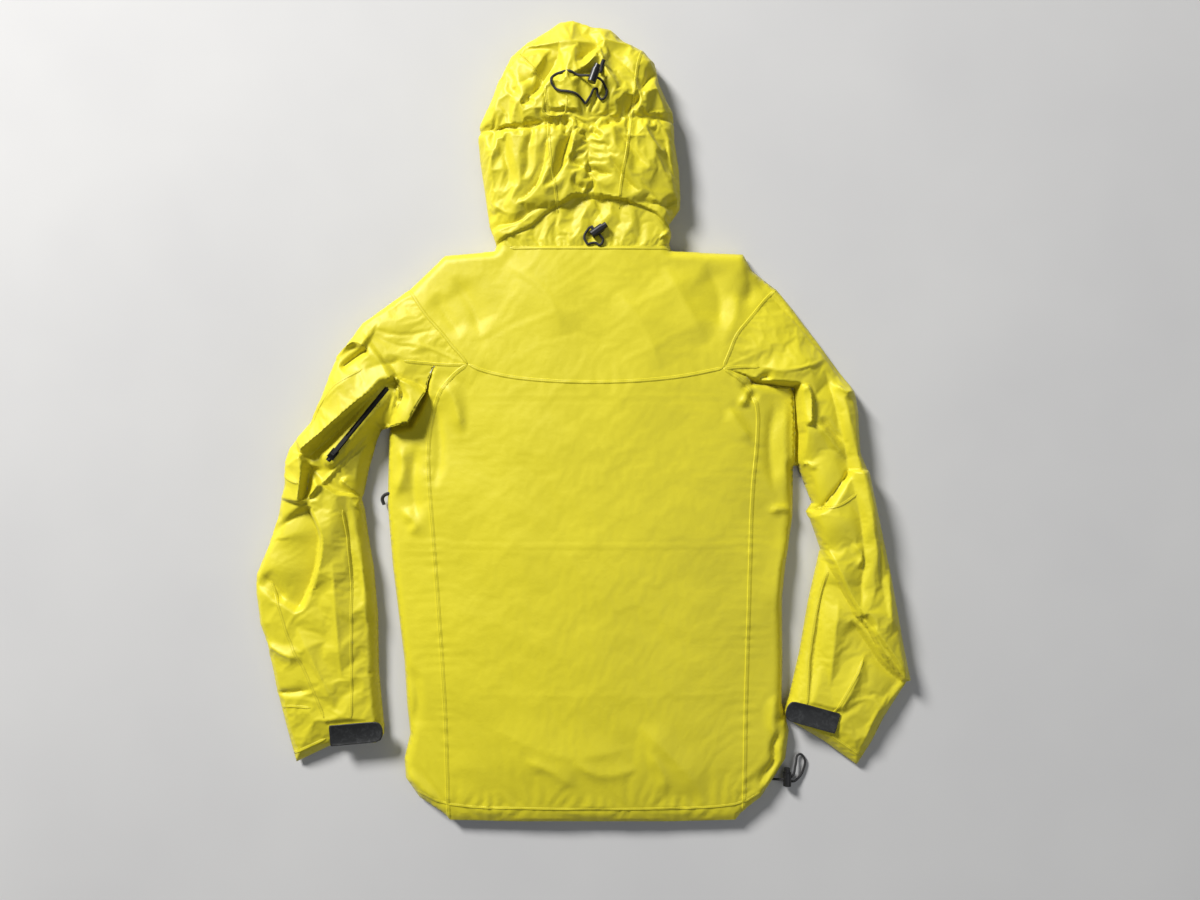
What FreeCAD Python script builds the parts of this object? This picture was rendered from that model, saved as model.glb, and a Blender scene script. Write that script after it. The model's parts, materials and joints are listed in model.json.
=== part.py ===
import FreeCAD, Part
import Sketcher
import os

from FreeCAD import Placement, Rotation, Vector

# Hooded hardshell jacket, laid out flat with its back uppermost. Millimetres.
# +X points across the back to the wearer's right, +Y from the hem to the hood, +Z up through the back.
# The origin is the middle of the hanging loop at the centre-back neck. The jacket rests on the plane
# z = floor. Every pressed-flat tube of cloth is a crowned lid (back layer) over a flat plate (front
# layer) with the hollow between them. Each sleeve section, cuff tab, zip and cord lock is drawn in a
# frame of its own and then placed.

DIMENSIONS = {
    # cloth
    "wall": 1.0,
    "seam": 0.3,
    "floor": -33.0,
    # torso outline, half widths and levels along Y
    "neck_half": 118.0,
    "shoulder_half": 204.0,
    "shoulder_top": -4.0,
    "point_half": 254.0,
    "point_level": -52.0,
    "chest_half": 277.0,
    "chest_level": -245.0,
    "ribs_half": 271.0,
    "ribs_level": -430.0,
    "waist_half": 250.0,
    "waist_level": -600.0,
    "hip_half": 252.0,
    "hip_level": -705.0,
    "corner_half": 236.0,
    "corner_level": -748.0,
    "hem_half": 194.0,
    "hem_level": -775.0,
    "side_seam": 213.0,
    "yoke_level": -188.0,
    "torso_edge": 17.0,
    "torso_neck_crown": 36.0,
    "torso_back_crown": 44.0,
    "torso_hem_crown": 30.0,
    # armholes: circles that the sleeve heads turn in
    "armhole_x": 262.0,
    "armhole_y": -148.0,
    "armhole_radius": 102.0,
    "head_radius": 100.0,
    # collar and hood
    "collar_low": 1.0,
    "collar_top": 46.0,
    "collar_top_half": 112.0,
    "hood_low": 50.0,
    "hood_left": -150.0,
    "hood_right": 116.0,
    "hood_left_bulge": -157.0,
    "hood_left_bulge_y": 150.0,
    "hood_left_top": -92.0,
    "hood_left_top_y": 282.0,
    "hood_peak_x": -24.0,
    "hood_peak": 311.0,
    "hood_right_top": 68.0,
    "hood_right_top_y": 269.0,
    "hood_right_bulge": 112.0,
    "hood_right_bulge_y": 150.0,
    "hood_centre": -20.0,
    "hood_half": 140.0,
    "hood_edge": 20.0,
    "hood_low_crown": 36.0,
    "hood_mid_crown": 66.0,
    "hood_brow_crown": 62.0,
    "hood_peak_crown": 30.0,
    "hood_mid_level": 140.0,
    "hood_brow_level": 240.0,
    "hood_strip_half": 42.0,
    "brim_level": 262.0,
    "face_half": 78.0,
    "face_low": 90.0,
    "face_high": 250.0,
    # sleeves: turn is the angle of each section's frame
    "left_upper_turn": -24.7,
    "left_zip_turn": -39.2,
    "left_fore_x": -385.0,
    "left_fore_y": -415.0,
    "left_fore_turn": 7.9,
    "right_upper_turn": 16.0,
    "right_fore_x": 352.0,
    "right_fore_y": -462.0,
    "right_fore_turn": -12.0,
    "left_elbow_radius": 78.0,
    "right_elbow_radius": 56.0,
    "elbow_gap": 2.0,
    "left_upper_length": 294.0,
    "right_upper_length": 326.6,
    "sleeve_edge": 15.0,
    "sleeve_crown": 40.0,
    "fore_edge": 14.0,
    "fore_crown": 34.0,
    "cuff_crown": 22.0,
    # cuff tabs
    "left_tab_x": -357.0,
    "left_tab_y": -658.0,
    "left_tab_turn": 5.0,
    "right_tab_x": 328.5,
    "right_tab_y": -641.0,
    "right_tab_turn": -15.3,
    "tab_length": 72.0,
    "tab_half": 14.0,
    "tab_thick": 1.4,
    "left_tab_level": 25.4,
    "right_tab_level": 27.2,
    "tab_lip": 10.0,
    # zips
    "zip_level": 7.5,
    "chain_gap": 0.75,
    "tape_width": 14.0,
    "tape_thick": 0.8,
    "tooth_width": 2.4,
    "tooth_thick": 1.6,
    "main_zip_length": 808.0,
    "pocket_zip_length": 180.0,
    "pit_zip_length": 120.0,
    "placket": 14.0,
    "slider_length": 14.0,
    "slider_half": 5.0,
    "slider_clear": 0.3,
    "plate_thick": 1.4,
    "pin_depth": 4.0,
    "pin_radius": 0.9,
    "eye_radius": 2.2,
    "pull_length": 30.0,
    "pull_half": 2.6,
    "pull_thick": 1.8,
    "pocket_x": 158.0,
    "pocket_y": -330.0,
    # cords and cord locks
    "cord_radius": 1.25,
    "lock_radius": 5.5,
    "lock_low": -9.0,
    "lock_high": 9.0,
    "bore_radius": 4.2,
    "bore_low": -8.0,
    "button_radius": 4.0,
    "button_low": -3.0,
    "button_high": 15.0,
    "cord_hole": 1.9,
    "slot_low": -1.7,
    "slot_high": 5.7,
    "spring_radius": 3.0,
    "spring_wire": 0.35,
    "hood_lock_level": 73.5,
    "collar_lock_level": 42.5,
    "hem_cord_y": -722.0,
    "hem_cord_level": 10.0,
}

doc = FreeCAD.newDocument("HardshellJacket")
nodes = {}


def make_sheet():
    """The driving dimensions, one per row, each with its alias."""
    sheet = doc.addObject("Spreadsheet::Sheet", "dims")
    for row, (alias, size) in enumerate(DIMENSIONS.items(), start=1):
        sheet.set(f"A{row}", alias.replace("_", " "))
        sheet.set(f"B{row}", str(size))
        sheet.setAlias(f"B{row}", alias)
    doc.recompute()


def cells(expression):
    """A sum such as 'wall + seam' with each alias pointed at its cell."""
    words = str(expression).replace("-", "- ").replace("+ ", "+ ").split()
    return " ".join(f"dims.{word}" if word in DIMENSIONS else word for word in words)


def value(expression):
    """The same sum worked out as a number."""
    total, sign = 0.0, 1.0
    for word in str(expression).replace("-", "- ").split():
        if word == "-":
            sign = -1.0
        elif word != "+":
            total += sign * (DIMENSIONS[word] if word in DIMENSIONS else float(word))
            sign = 1.0
    return total


def flipped(expression):
    """The sum with every sign turned round."""
    words = str(expression).replace("-", "- ").split()
    out, sign = [], "-"
    for word in words:
        if word == "-":
            sign = "+"
        elif word != "+":
            out += [sign, word]
            sign = "-"
    return " ".join(out).removeprefix("+ ")


def bind(thing, **sizes):
    """Binds properties to sums of the sheet's cells."""
    for name, expression in sizes.items():
        setattr(thing, name, value(expression))
        thing.setExpression(name, cells(expression))


def fix_point(sketch, geometry, corner, x, y, tag):
    """Holds one point of a sketch at cell-driven distances from the sketch's origin."""
    for kind, expression in (("DistanceX", x), ("DistanceY", y)):
        rule = Sketcher.Constraint(kind, -1, 1, geometry, corner, value(expression))
        index = sketch.addConstraint(rule)
        sketch.renameConstraint(index, f"{tag}_{kind[-1]}")
        sketch.setExpression(f"Constraints.{tag}_{kind[-1]}", cells(expression))


def outline(name, start, steps, closed=True, upright=False, level="0", holder=None):
    """A sketch of lines and arcs. A step is (x, y) for a line, or (via_x, via_y, x, y) for an arc
    through the first pair. upright draws in the XZ plane instead of XY, at Y = level."""
    if holder is None:
        sketch = doc.addObject("Sketcher::SketchObject", name)
        axis = "y" if upright else "z"
        turn = Rotation(Vector(1, 0, 0), 90 if upright else 0)
        base = Vector(0, value(level), 0) if upright else Vector(0, 0, value(level))
        sketch.Placement = Placement(base, turn)
        sketch.setExpression(f"Placement.Base.{axis}", cells(level))
    else:
        sketch = holder.newObject("Sketcher::SketchObject", name)
        plane = [f for f in holder.Origin.OriginFeatures if f.Role == "XY_Plane"][0]
        sketch.AttachmentSupport = [(plane, "")]
        sketch.MapMode = "FlatFace"
        sketch.AttachmentOffset = Placement(Vector(0, 0, value(level)), Rotation())
        sketch.setExpression("AttachmentOffset.Base.z", cells(level))
    corners = [start] + [step[-2:] for step in steps]
    if closed:
        corners[-1] = start
    for index, step in enumerate(steps):
        a = Vector(value(corners[index][0]), value(corners[index][1]), 0)
        b = Vector(value(corners[index + 1][0]), value(corners[index + 1][1]), 0)
        if len(step) == 4:
            via = Vector(value(step[0]), value(step[1]), 0)
            anticlockwise = (via - a).cross(b - a).z > 0
            sketch.addGeometry(Part.Arc(a, via, b) if anticlockwise else Part.Arc(b, via, a))
        else:
            sketch.addGeometry(Part.LineSegment(a, b))
    ends = [edge_ends(sketch, index, corners) for index in range(len(steps))]
    for index in range(1, len(steps)):
        join = Sketcher.Constraint("Coincident", index - 1, ends[index - 1][1], index, ends[index][0])
        sketch.addConstraint(join)
    if closed:
        last = len(steps) - 1
        sketch.addConstraint(Sketcher.Constraint("Coincident", last, ends[last][1], 0, ends[0][0]))
    else:
        fix_point(sketch, len(steps) - 1, ends[-1][1], *corners[-1], "end")
    for index in range(len(steps)):
        fix_point(sketch, index, ends[index][0], *corners[index], f"p{index}")
    for index, step in enumerate(steps):
        if len(step) == 4:
            spot = sketch.addGeometry(Part.Point(Vector(value(step[0]), value(step[1]), 0)), True)
            fix_point(sketch, spot, 1, step[0], step[1], f"via{index}")
            sketch.addConstraint(Sketcher.Constraint("PointOnObject", spot, 1, index))
    return sketch


def edge_ends(sketch, index, corners):
    """Which end (1 or 2) of an edge is its first point: arcs are stored anticlockwise."""
    first = Vector(value(corners[index][0]), value(corners[index][1]), 0)
    at_start = (sketch.Geometry[index].StartPoint - first).Length < 0.01
    return (1, 2) if at_start else (2, 1)


def prism(name, sketch, height):
    """The sketch pushed up along Z."""
    solid = doc.addObject("Part::Extrusion", name)
    solid.Base = sketch
    solid.DirMode = "Custom"
    solid.Dir = Vector(0, 0, 1)
    solid.Solid = True
    bind(solid, LengthFwd=height)
    return solid


def box(name, x0, x1, y0, y1, z0, z1):
    """A box between cell-driven limits."""
    solid = doc.addObject("Part::Box", name)
    bind(solid, Length=f"{x1} {minus(x0)}", Width=f"{y1} {minus(y0)}", Height=f"{z1} {minus(z0)}")
    for axis, low in zip("xyz", (x0, y0, z0)):
        solid.setExpression(f"Placement.Base.{axis}", cells(low))
    return solid


def minus(expression):
    """The sum ready to be taken away from another."""
    text = flipped(expression)
    return text if text.startswith("-") else "+ " + text


def cylinder(name, radius, x, y, low, high):
    """An upright cylinder."""
    solid = doc.addObject("Part::Cylinder", name)
    bind(solid, Radius=radius, Height=f"{high} {minus(low)}")
    for axis, place in zip("xyz", (x, y, low)):
        solid.setExpression(f"Placement.Base.{axis}", cells(place))
    return solid


def rod(name, radius, low, high, along="y", x="0", z="0"):
    """A cylinder along X or Y."""
    solid = doc.addObject("Part::Cylinder", name)
    bind(solid, Radius=radius, Height=f"{high} {minus(low)}")
    turn = Rotation(Vector(0, 1, 0), 90) if along == "x" else Rotation(Vector(1, 0, 0), -90)
    solid.Placement = Placement(Vector(0, 0, 0), turn)
    base = (low, x, z) if along == "x" else (x, low, z)
    for axis, place in zip("xyz", base):
        solid.setExpression(f"Placement.Base.{axis}", cells(place))
    return solid


def cut(name, base, *tools):
    """base with each tool taken away in turn."""
    for index, tool in enumerate(tools):
        last = index == len(tools) - 1
        step = doc.addObject("Part::Cut", name if last else f"{name}_cut{index}")
        step.Base, step.Tool = base, tool
        base = step
    return base


def common(name, base, tool):
    both = doc.addObject("Part::Common", name)
    both.Base, both.Tool = base, tool
    return both


def fuse(name, *shapes):
    joined = doc.addObject("Part::MultiFuse", name)
    joined.Shapes = list(shapes)
    return joined


def group(name, *shapes):
    """Separate solids that share one node."""
    held = doc.addObject("Part::Compound", name)
    held.Links = list(shapes)
    return held


def node(label, thing, frame=None):
    """Names a finished sub-part and moves it from its own frame to the jacket's."""
    thing.Label = label
    if frame:
        place(thing, *frame)
    nodes[label] = thing
    return thing


def place(thing, x, y, z, turn, over=False):
    """Puts a sub-part at x, y, z, turned about Z. over lays it face up by a half turn about its own Y."""
    turned = Rotation(Vector(0, 0, 1), value(turn))
    if over:
        turned = turned * Rotation(Vector(0, 1, 0), 180)
    thing.Placement = Placement(Vector(value(x), value(y), value(z)), turned)
    for axis, expression in zip("xyz", (x, y, z)):
        thing.setExpression(f"Placement.Base.{axis}", cells(expression))


def crowned_bar(name, centre, half, edge, stations, inset=None):
    """A long form with a flat underside and an arched top, lofted along Y through its stations, each
    (y, crown). inset shrinks it all round for the hollow."""
    shrink = "0" if inset is None else inset
    sections = []
    for index, (y, crown) in enumerate(stations):
        left, right = f"{centre} {minus(half)} + {shrink}", f"{centre} + {half} {minus(shrink)}"
        side, top = f"floor + {edge} {minus(shrink)}", f"floor + {crown} {minus(shrink)}"
        arch = (centre, top, left, side)
        steps = [(right, "floor"), (right, side), arch, (left, "floor")]
        sections.append(outline(f"{name}_section{index}", (left, "floor"), steps, upright=True, level=y))
    bar = doc.addObject("Part::Loft", name)
    bar.Sections = sections
    bar.Solid = True
    bar.Ruled = len(stations) == 2
    return bar


def layers(name, plan, hollow, bar, sewn=False):
    """A pressed-flat tube of cloth: its lid and its plate. plan and hollow are (start, steps)
    outlines; bar is (centre, half, edge, stations). A sewn pair meets, any other keeps a seam's gap."""
    high = "90"
    whole_plan = outline(f"{name}_plan", *plan, level="floor")
    outer = common(f"{name}_outer", prism(f"{name}_prism", whole_plan, high), crowned_bar(f"{name}_bar", *bar))
    hollow_plan = outline(f"{name}_hollow_plan", *hollow, level="floor - 1")
    inner_bar = crowned_bar(f"{name}_inner_bar", *bar, inset="wall")
    inner = common(f"{name}_inner", prism(f"{name}_hollow_prism", hollow_plan, high), inner_bar)
    gap = "wall" if sewn else "wall + seam"
    base = box(f"{name}_base", "-700", "700", "-900", "500", "floor - 5", f"floor + {gap}")
    lid = cut(f"{name}_lid", outer, inner, base)
    flat_plan = outline(f"{name}_flat_plan", *plan, level="floor")
    plate = prism(f"{name}_plate", flat_plan, "wall")
    return lid, plate


def mirrored(points):
    """The left half of a symmetric outline, from its right half read backwards."""
    return [(flipped(x), y) for x, y in reversed(points)]


def ring(points):
    """(start, steps) for a closed outline of straight edges."""
    return points[0], points[1:] + [points[0]]


def torso_layers():
    right = [
        ("shoulder_half", "shoulder_top"),
        ("point_half", "point_level"),
        ("chest_half", "chest_level"),
        ("ribs_half", "ribs_level"),
        ("waist_half", "waist_level"),
        ("hip_half", "hip_level"),
        ("corner_half", "corner_level"),
        ("hem_half", "hem_level"),
    ]
    hollow = [("neck_half", "40")]
    hollow += [(f"{x} - wall", y) for x, y in right[:-2]]
    hollow += [("corner_half - wall", "hem_level - 20")]
    hollow[1] = ("shoulder_half - wall", "shoulder_top - wall")
    hollow.insert(1, ("neck_half", "shoulder_top - wall"))
    plan = [("neck_half", "0")] + right
    bar = (
        "0",
        "chest_half + 4",
        "torso_edge",
        [
            ("30", "torso_neck_crown"),
            ("yoke_level", "torso_back_crown"),
            ("waist_level", "torso_back_crown"),
            ("hem_level - 10", "torso_hem_crown"),
        ],
    )
    return layers("torso", ring(plan + mirrored(plan)), ring(hollow + mirrored(hollow)), bar)


def armhole(name, side):
    x = "armhole_x" if side > 0 else "-armhole_x"
    return cylinder(name, "armhole_radius", x, "armhole_y", "floor - 5", "floor + 95")


def torso():
    """Back, yoke, sides and fronts, cut apart along their seams."""
    lid, plate = torso_layers()
    holes = [armhole(f"armhole_{index}", side) for index, side in enumerate((-1, 1))]
    shell = cut("torso_shell", lid, *holes)
    low, high = "floor - 2", "floor + 95"
    back = box("back_zone", "-side_seam", "side_seam", "hem_level - 20", "yoke_level", low, high)
    node("back_panel", common("back_panel", shell, back))
    yoke = box("yoke_zone", "-chest_half - 9", "chest_half + 9", "yoke_level + seam", "9", low, high)
    node("back_yoke", common("back_yoke", shell, yoke))
    for side, name in ((-1, "left"), (1, "right")):
        inner, outer = "side_seam + seam", "chest_half + 9"
        span = (inner, outer) if side > 0 else (flipped(outer), flipped(inner))
        zone = box(f"side_zone_{name}", *span, "hem_level - 20", "yoke_level", low, high)
        panel = common(f"side_panel_{name}", shell, zone)
        if side > 0:
            exit_hole = rod("hem_exit", "cord_hole", "230", "270", "x", "hem_cord_y", "floor + hem_cord_level")
            panel = cut("side_panel_with_exit", panel, exit_hole)
        node(f"side_panel_{name}", panel)
        front(name, side, plate)


def front(name, side, plate):
    """One front: its plate, the raised edge beside the main zip and the welt round the pocket zip."""

    def span(a, b):
        return (a, b) if side > 0 else (flipped(b), flipped(a))

    reach = ("hem_level - 9", "9", "floor - 2", "floor + 9")
    zone = box(f"front_zone_{name}", *span("placket", "chest_half + 9"), *reach)
    hole = armhole(f"front_armhole_{name}", side)
    opening = box(
        f"pocket_opening_{name}",
        *span("pocket_x - 10", "pocket_x + 10"),
        "pocket_y - pocket_zip_length - 24",
        "pocket_y + 24",
        "floor - 2",
        "floor + zip_level + 2",
    )
    welt = box(
        f"pocket_welt_{name}",
        *span("pocket_x - 11", "pocket_x + 11"),
        "pocket_y - pocket_zip_length - 25",
        "pocket_y + 25",
        "floor",
        "floor + zip_level - seam",
    )
    rise = ("hem_level", "0", "floor", "floor + zip_level - seam")
    edge = box(f"front_edge_{name}", *span("placket", "placket + wall"), *rise)
    flat = common(f"front_flat_{name}", plate, zone)
    whole = fuse(f"front_whole_{name}", flat, welt, edge)
    node(f"front_panel_{name}", cut(f"front_panel_{name}", whole, opening, hole))
    bag = box(
        f"pocket_bag_{name}",
        *span("pocket_x - 100", "pocket_x + 30"),
        "pocket_y - pocket_zip_length - 30",
        "pocket_y + 20",
        "floor + 13",
        "floor + 13.6",
    )
    node(f"pocket_bag_{name}", bag)


def collar():
    """The stand collar between the yoke and the hood, with its two chin guards and the hanging loop."""
    sides = [("neck_half", "collar_low"), ("collar_top_half", "collar_top")]
    inside = [("neck_half - wall", "collar_low - 9"), ("collar_top_half - wall", "collar_top + 9")]
    plan = ring([sides[1], sides[0]] + mirrored([sides[1], sides[0]]))
    hollow = ring([inside[1], inside[0]] + mirrored([inside[1], inside[0]]))
    stations = [("collar_low - 9", "torso_neck_crown"), ("collar_top + 9", "hood_low_crown")]
    bar = ("0", "neck_half + 6", "26", stations)
    lid, plate = layers("collar", plan, hollow, bar)
    node("collar_back", lid)
    for side, name in ((-1, "left"), (1, "right")):
        span = ("placket", "neck_half + 6") if side > 0 else ("-neck_half - 6", "-placket")
        zone = box(f"chin_zone_{name}", *span, "-5", "collar_top + 5", "floor - 2", "floor + 5")
        node(f"chin_guard_{name}", common(f"chin_guard_{name}", plate, zone))
    node("hanging_loop", hanging_loop())


def hanging_loop():
    """A flat webbing bow, sewn down at both ends; a peg passes through it at the origin."""
    steps = [("0", "-8", "32", "8"), ("26", "8"), ("0", "-4", "-26", "8"), ("-32", "8")]
    return prism("hanging_loop_band", outline("loop_plan", ("-32", "8"), steps, level="-1"), "2")


def hood():
    """Centre strip, two sides, the stiffened brim and the face layer with its opening."""
    plan = (
        ("hood_left", "hood_low"),
        [
            ("hood_left_bulge", "hood_left_bulge_y", "hood_left_top", "hood_left_top_y"),
            ("hood_peak_x", "hood_peak", "hood_right_top", "hood_right_top_y"),
            ("hood_right_bulge", "hood_right_bulge_y", "hood_right", "hood_low"),
            ("hood_left", "hood_low"),
        ],
    )
    hollow = (
        ("hood_left + wall", "hood_low - 9"),
        [
            ("hood_left_bulge + wall", "hood_left_bulge_y", "hood_left_top + wall", "hood_left_top_y - wall"),
            ("hood_peak_x", "hood_peak - wall", "hood_right_top - wall", "hood_right_top_y - wall"),
            ("hood_right_bulge - wall", "hood_right_bulge_y", "hood_right - wall", "hood_low - 9"),
            ("hood_left + wall", "hood_low - 9"),
        ],
    )
    stations = [
        ("hood_low - 10", "hood_low_crown - 2"),
        ("hood_mid_level", "hood_mid_crown"),
        ("hood_brow_level", "hood_brow_crown"),
        ("hood_peak + 8", "hood_peak_crown"),
    ]
    lid, plate = layers("hood", plan, hollow, ("hood_centre", "hood_half", "hood_edge", stations))
    low, high = "floor - 2", "floor + 95"
    strip = ("hood_centre - hood_strip_half", "hood_centre + hood_strip_half")
    zones = {
        "hood_centre_panel": (*strip, "0", "brim_level"),
        "hood_side_left": ("-200", "hood_centre - hood_strip_half - seam", "0", "brim_level"),
        "hood_side_right": ("hood_centre + hood_strip_half + seam", "200", "0", "brim_level"),
        "hood_brim": ("-200", "200", "brim_level + seam", "330"),
    }
    for name, zone in zones.items():
        node(name, common(name, lid, box(f"{name}_zone", *zone, low, high)))
    notch_reach = ("hood_low - 9", "face_low + 9", "floor - 3", "floor + 6")
    notch = box("chin_notch", "-placket - 2", "placket + 2", *notch_reach)
    node("hood_face_layer", cut("hood_face_layer", plate, face_opening(), notch))


def face_opening():
    """The opening that the wearer looks out of: straight jaw, round cheeks and brow."""
    left, right = "hood_centre - face_half", "hood_centre + face_half"
    brow = ("hood_centre", "face_high", left, "face_high - 60")
    steps = [(right, "face_low"), (right, "face_high - 60"), brow, (left, "face_low")]
    sketch = outline("face_plan", (left, "face_low"), steps, level="floor - 3")
    return prism("face_opening", sketch, "9")


SLEEVES = {
    # outlines of each section in its own frame, from the head down the outer side, across the elbow or
    # cuff and up the inner side; the wearer's left sleeve has its outer side towards -X
    "left": {
        "outer": [("-36", "93.3"), ("-82", "-42"), ("-77", "-130"), ("-84", "-185"), ("-46", "-228.5")],
        "elbow": ("0", "left_elbow_radius + elbow_gap - left_upper_length", "38", "-223.6"),
        "inner": [("38", "-223.6"), ("28", "-194"), ("20", "-159"), ("13", "-99.1")],
        "fore_outer": [("-78", "0"), ("-84", "-43"), ("-78", "-112"), ("-74", "-177"), ("-62", "-278")],
        "cuff": [("-11", "-262"), ("52", "-266")],
        "fore_inner": [("62", "-252"), ("67", "-169"), ("77", "-91"), ("78", "0")],
    },
    "right": {
        "outer": [("17", "98.5"), ("53", "0"), ("78", "-68"), ("63", "-152"), ("61", "-225"), ("28.4", "-276")],
        "elbow": ("0", "right_elbow_radius + elbow_gap - right_upper_length", "-33", "-278.9"),
        "inner": [("-33", "-278.9"), ("-17", "-199"), ("-22", "-141"), ("-10", "-99.5")],
        "fore_outer": [("56", "0"), ("90", "-76"), ("103", "-104"), ("72", "-197"), ("58", "-234")],
        "cuff": [("6", "-211")],
        "fore_inner": [("-52", "-189"), ("-50", "-142"), ("-50", "-97"), ("-56", "0")],
    },
}


def sleeve(name, side):
    """An upper sleeve and a forearm, each a hollow pressed-flat tube open at both ends."""
    data = SLEEVES[name]
    inward = 1 if side < 0 else -1
    armhole_x = "armhole_x" if side > 0 else "-armhole_x"

    head_far = ("head_radius" if side < 0 else "-head_radius", "0")
    upper_steps = data["outer"][1:] + [data["elbow"]] + data["inner"][1:] + [(*head_far, *data["outer"][0])]
    beyond = (str(inward * 130), str(inward * 130))
    upper_hollow = tube_hollow(data["outer"], data["inner"], inward, "140", "-340", beyond)
    upper_bar = (str(-inward * 20), "125", "sleeve_edge", [("-340", "sleeve_crown"), ("150", "sleeve_crown")])
    upper = tube(f"{name}_upper", (data["outer"][0], upper_steps), upper_hollow, upper_bar)
    frame = (armhole_x, "armhole_y", "0", f"{name}_upper_turn")
    node(f"upper_sleeve_{name}", cut(f"upper_sleeve_{name}", upper, pit_zip_well(side)), frame)

    outer, inner = data["fore_outer"], data["fore_inner"]
    steps = outer[1:] + data["cuff"] + inner + [("0", f"{name}_elbow_radius", *outer[0])]
    hollow = tube_hollow(outer, inner, inward, "150", "-320")
    centre = "0" if side < 0 else "20"
    bar = (centre, "100", "fore_edge", [("-300", "cuff_crown"), ("120", "fore_crown")])
    forearm = tube(f"{name}_fore", (outer[0], steps), hollow, bar)
    node(f"forearm_{name}", forearm, (f"{name}_fore_x", f"{name}_fore_y", "0", f"{name}_fore_turn"))


def tube_hollow(outer, inner, inward, top, bottom, beyond=None):
    """The plan of a sleeve's hollow, one wall inside its sides and running out past both ends."""
    wall = value("wall")
    left = [(f"{x} + {inward * wall}", y) for x, y in outer]
    right = [(f"{x} + {-inward * wall}", y) for x, y in inner]
    corners = [(left[0][0], top)] + left[:-1] + [(left[-2][0], bottom), (right[0][0], bottom)] + right
    if beyond:
        corners += [(beyond[0], right[-1][1]), (beyond[1], top)]
    else:
        corners.append((right[-1][0], top))
    return ring(corners)


def tube(name, plan, hollow, bar):
    """A lid and its plate joined down both sides."""
    lid, plate = layers(name, plan, hollow, bar, sewn=True)
    return fuse(f"{name}_tube", lid, plate)


def pit_zip_well(side):
    """The gap the pit zip lies in: through the back layer on the left sleeve, the front on the right."""
    if side > 0:
        return box("pit_well_right", "-11", "11", "-232", "-48", "floor - 2", "floor + 3")
    well = box("pit_well_left", "-9", "9", "-pit_zip_length - 3", "3", "0", "40")
    held = group("pit_well_left_placed", well)
    place(held, "3.5", "-46.2", "floor + 10", "left_zip_turn - left_upper_turn")
    return held


def cuff_tab(name, side):
    """The hook-and-loop strap over the cuff and the loop patch that it grips."""
    frame = (f"{name}_tab_x", f"{name}_tab_y", "0", f"{name}_tab_turn")

    def span(a, b):
        return (a, b) if side < 0 else (flipped(b), flipped(a))

    level = f"floor + {name}_tab_level"
    low, high = level, f"{level} + tab_thick"
    strap = box(f"{name}_strap", *span("0", "tab_length"), "-tab_half", "tab_half", low, high)
    lip = box(
        f"{name}_lip",
        *span("tab_length - tab_thick", "tab_length"),
        "-tab_half",
        "tab_half",
        f"{level} - tab_lip",
        high,
    )
    node(f"cuff_tab_{name}", fuse(f"cuff_tab_{name}", strap, lip), frame)
    patch = box(
        f"{name}_patch",
        *span("6", "tab_length - 12"),
        "-tab_half + 1",
        "tab_half - 1",
        f"{level} - 1.2",
        f"{level} - 0.4",
    )
    node(f"cuff_loop_patch_{name}", group(f"cuff_loop_patch_{name}", patch), frame)


def slider(name):
    """A zip slider: an outer and an inner plate on one post, and two ears with the pull's pin."""
    body = doc.addObject("PartDesign::Body", name)
    half, length = "slider_half", "slider_length"
    corners = [(f"-{half}", "-2"), (half, "-2"), (half, f"-2 - {length}"), (f"-{half}", f"-2 - {length}")]
    post = [("-0.5", "-4"), ("0.5", "-4"), ("0.5", "-9"), ("-0.5", "-9")]
    post_high = "tape_thick + tooth_thick + slider_clear + slider_clear + plate_thick"
    pad(body, f"{name}_outer", ring(corners), "-slider_clear - plate_thick", "plate_thick")
    pad(body, f"{name}_post", ring(post), "-slider_clear - plate_thick", post_high + " + 0.5")
    pad(body, f"{name}_inner", ring(corners), "tape_thick + tooth_thick + slider_clear", "plate_thick")
    ears = ears_and_pin(name)
    return fuse(f"{name}_whole", body, *ears)


def pad(body, name, shape, level, height):
    """One padded sketch of a PartDesign body."""
    sketch = outline(f"{name}_sketch", *shape, level=level, holder=body)
    feature = body.newObject("PartDesign::Pad", name)
    feature.Profile = sketch
    bind(feature, Length=height)
    doc.recompute()
    return feature


def ears_and_pin(name):
    low, high = "-pin_depth - 1.2", "-slider_clear - plate_thick"
    ears = []
    for index, (x0, x1) in enumerate((("-3.9", "-3"), ("3", "3.9"))):
        ears.append(box(f"{name}_ear{index}", x0, x1, "-11", "-7", low, high))
    ears.append(rod(f"{name}_pin", "pin_radius", "-3.5", "3.5", along="x", x="-9", z="-pin_depth"))
    return ears


def pull(name):
    """The puller: an eye on the slider's pin, and a long tab with a moulded grip."""
    eye = rod(f"{name}_eye", "eye_radius", "-pull_half", "pull_half", along="x", x="-9", z="-pin_depth")
    tab = box(
        f"{name}_tab",
        "-pull_half",
        "pull_half",
        "-9 - pull_length",
        "-9",
        "-pin_depth - 0.9",
        "-pin_depth - 0.9 + pull_thick",
    )
    hole = rod(f"{name}_hole", "pin_radius + 0.15", "-9", "9", along="x", x="-9", z="-pin_depth")
    return cut(name, fuse(f"{name}_blank", eye, tab), hole)


def chain(name, length, tape):
    """Both tapes and both rows of teeth, drawn apart by the slider post's running gap."""
    tapes, teeth = [], []
    for index, side in enumerate((-1, 1)):

        def span(a, b):
            return (a, b) if side > 0 else (flipped(b), flipped(a))

        tapes.append(box(f"{name}_tape{index}", *span("chain_gap", tape), f"-{length}", "0", "0", "tape_thick"))
        low, high = "tape_thick", "tape_thick + tooth_thick"
        row = span("chain_gap", "chain_gap + tooth_width")
        teeth.append(box(f"{name}_teeth{index}", *row, f"-{length} + 12", "-1", low, high))
    return tapes, teeth


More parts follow.
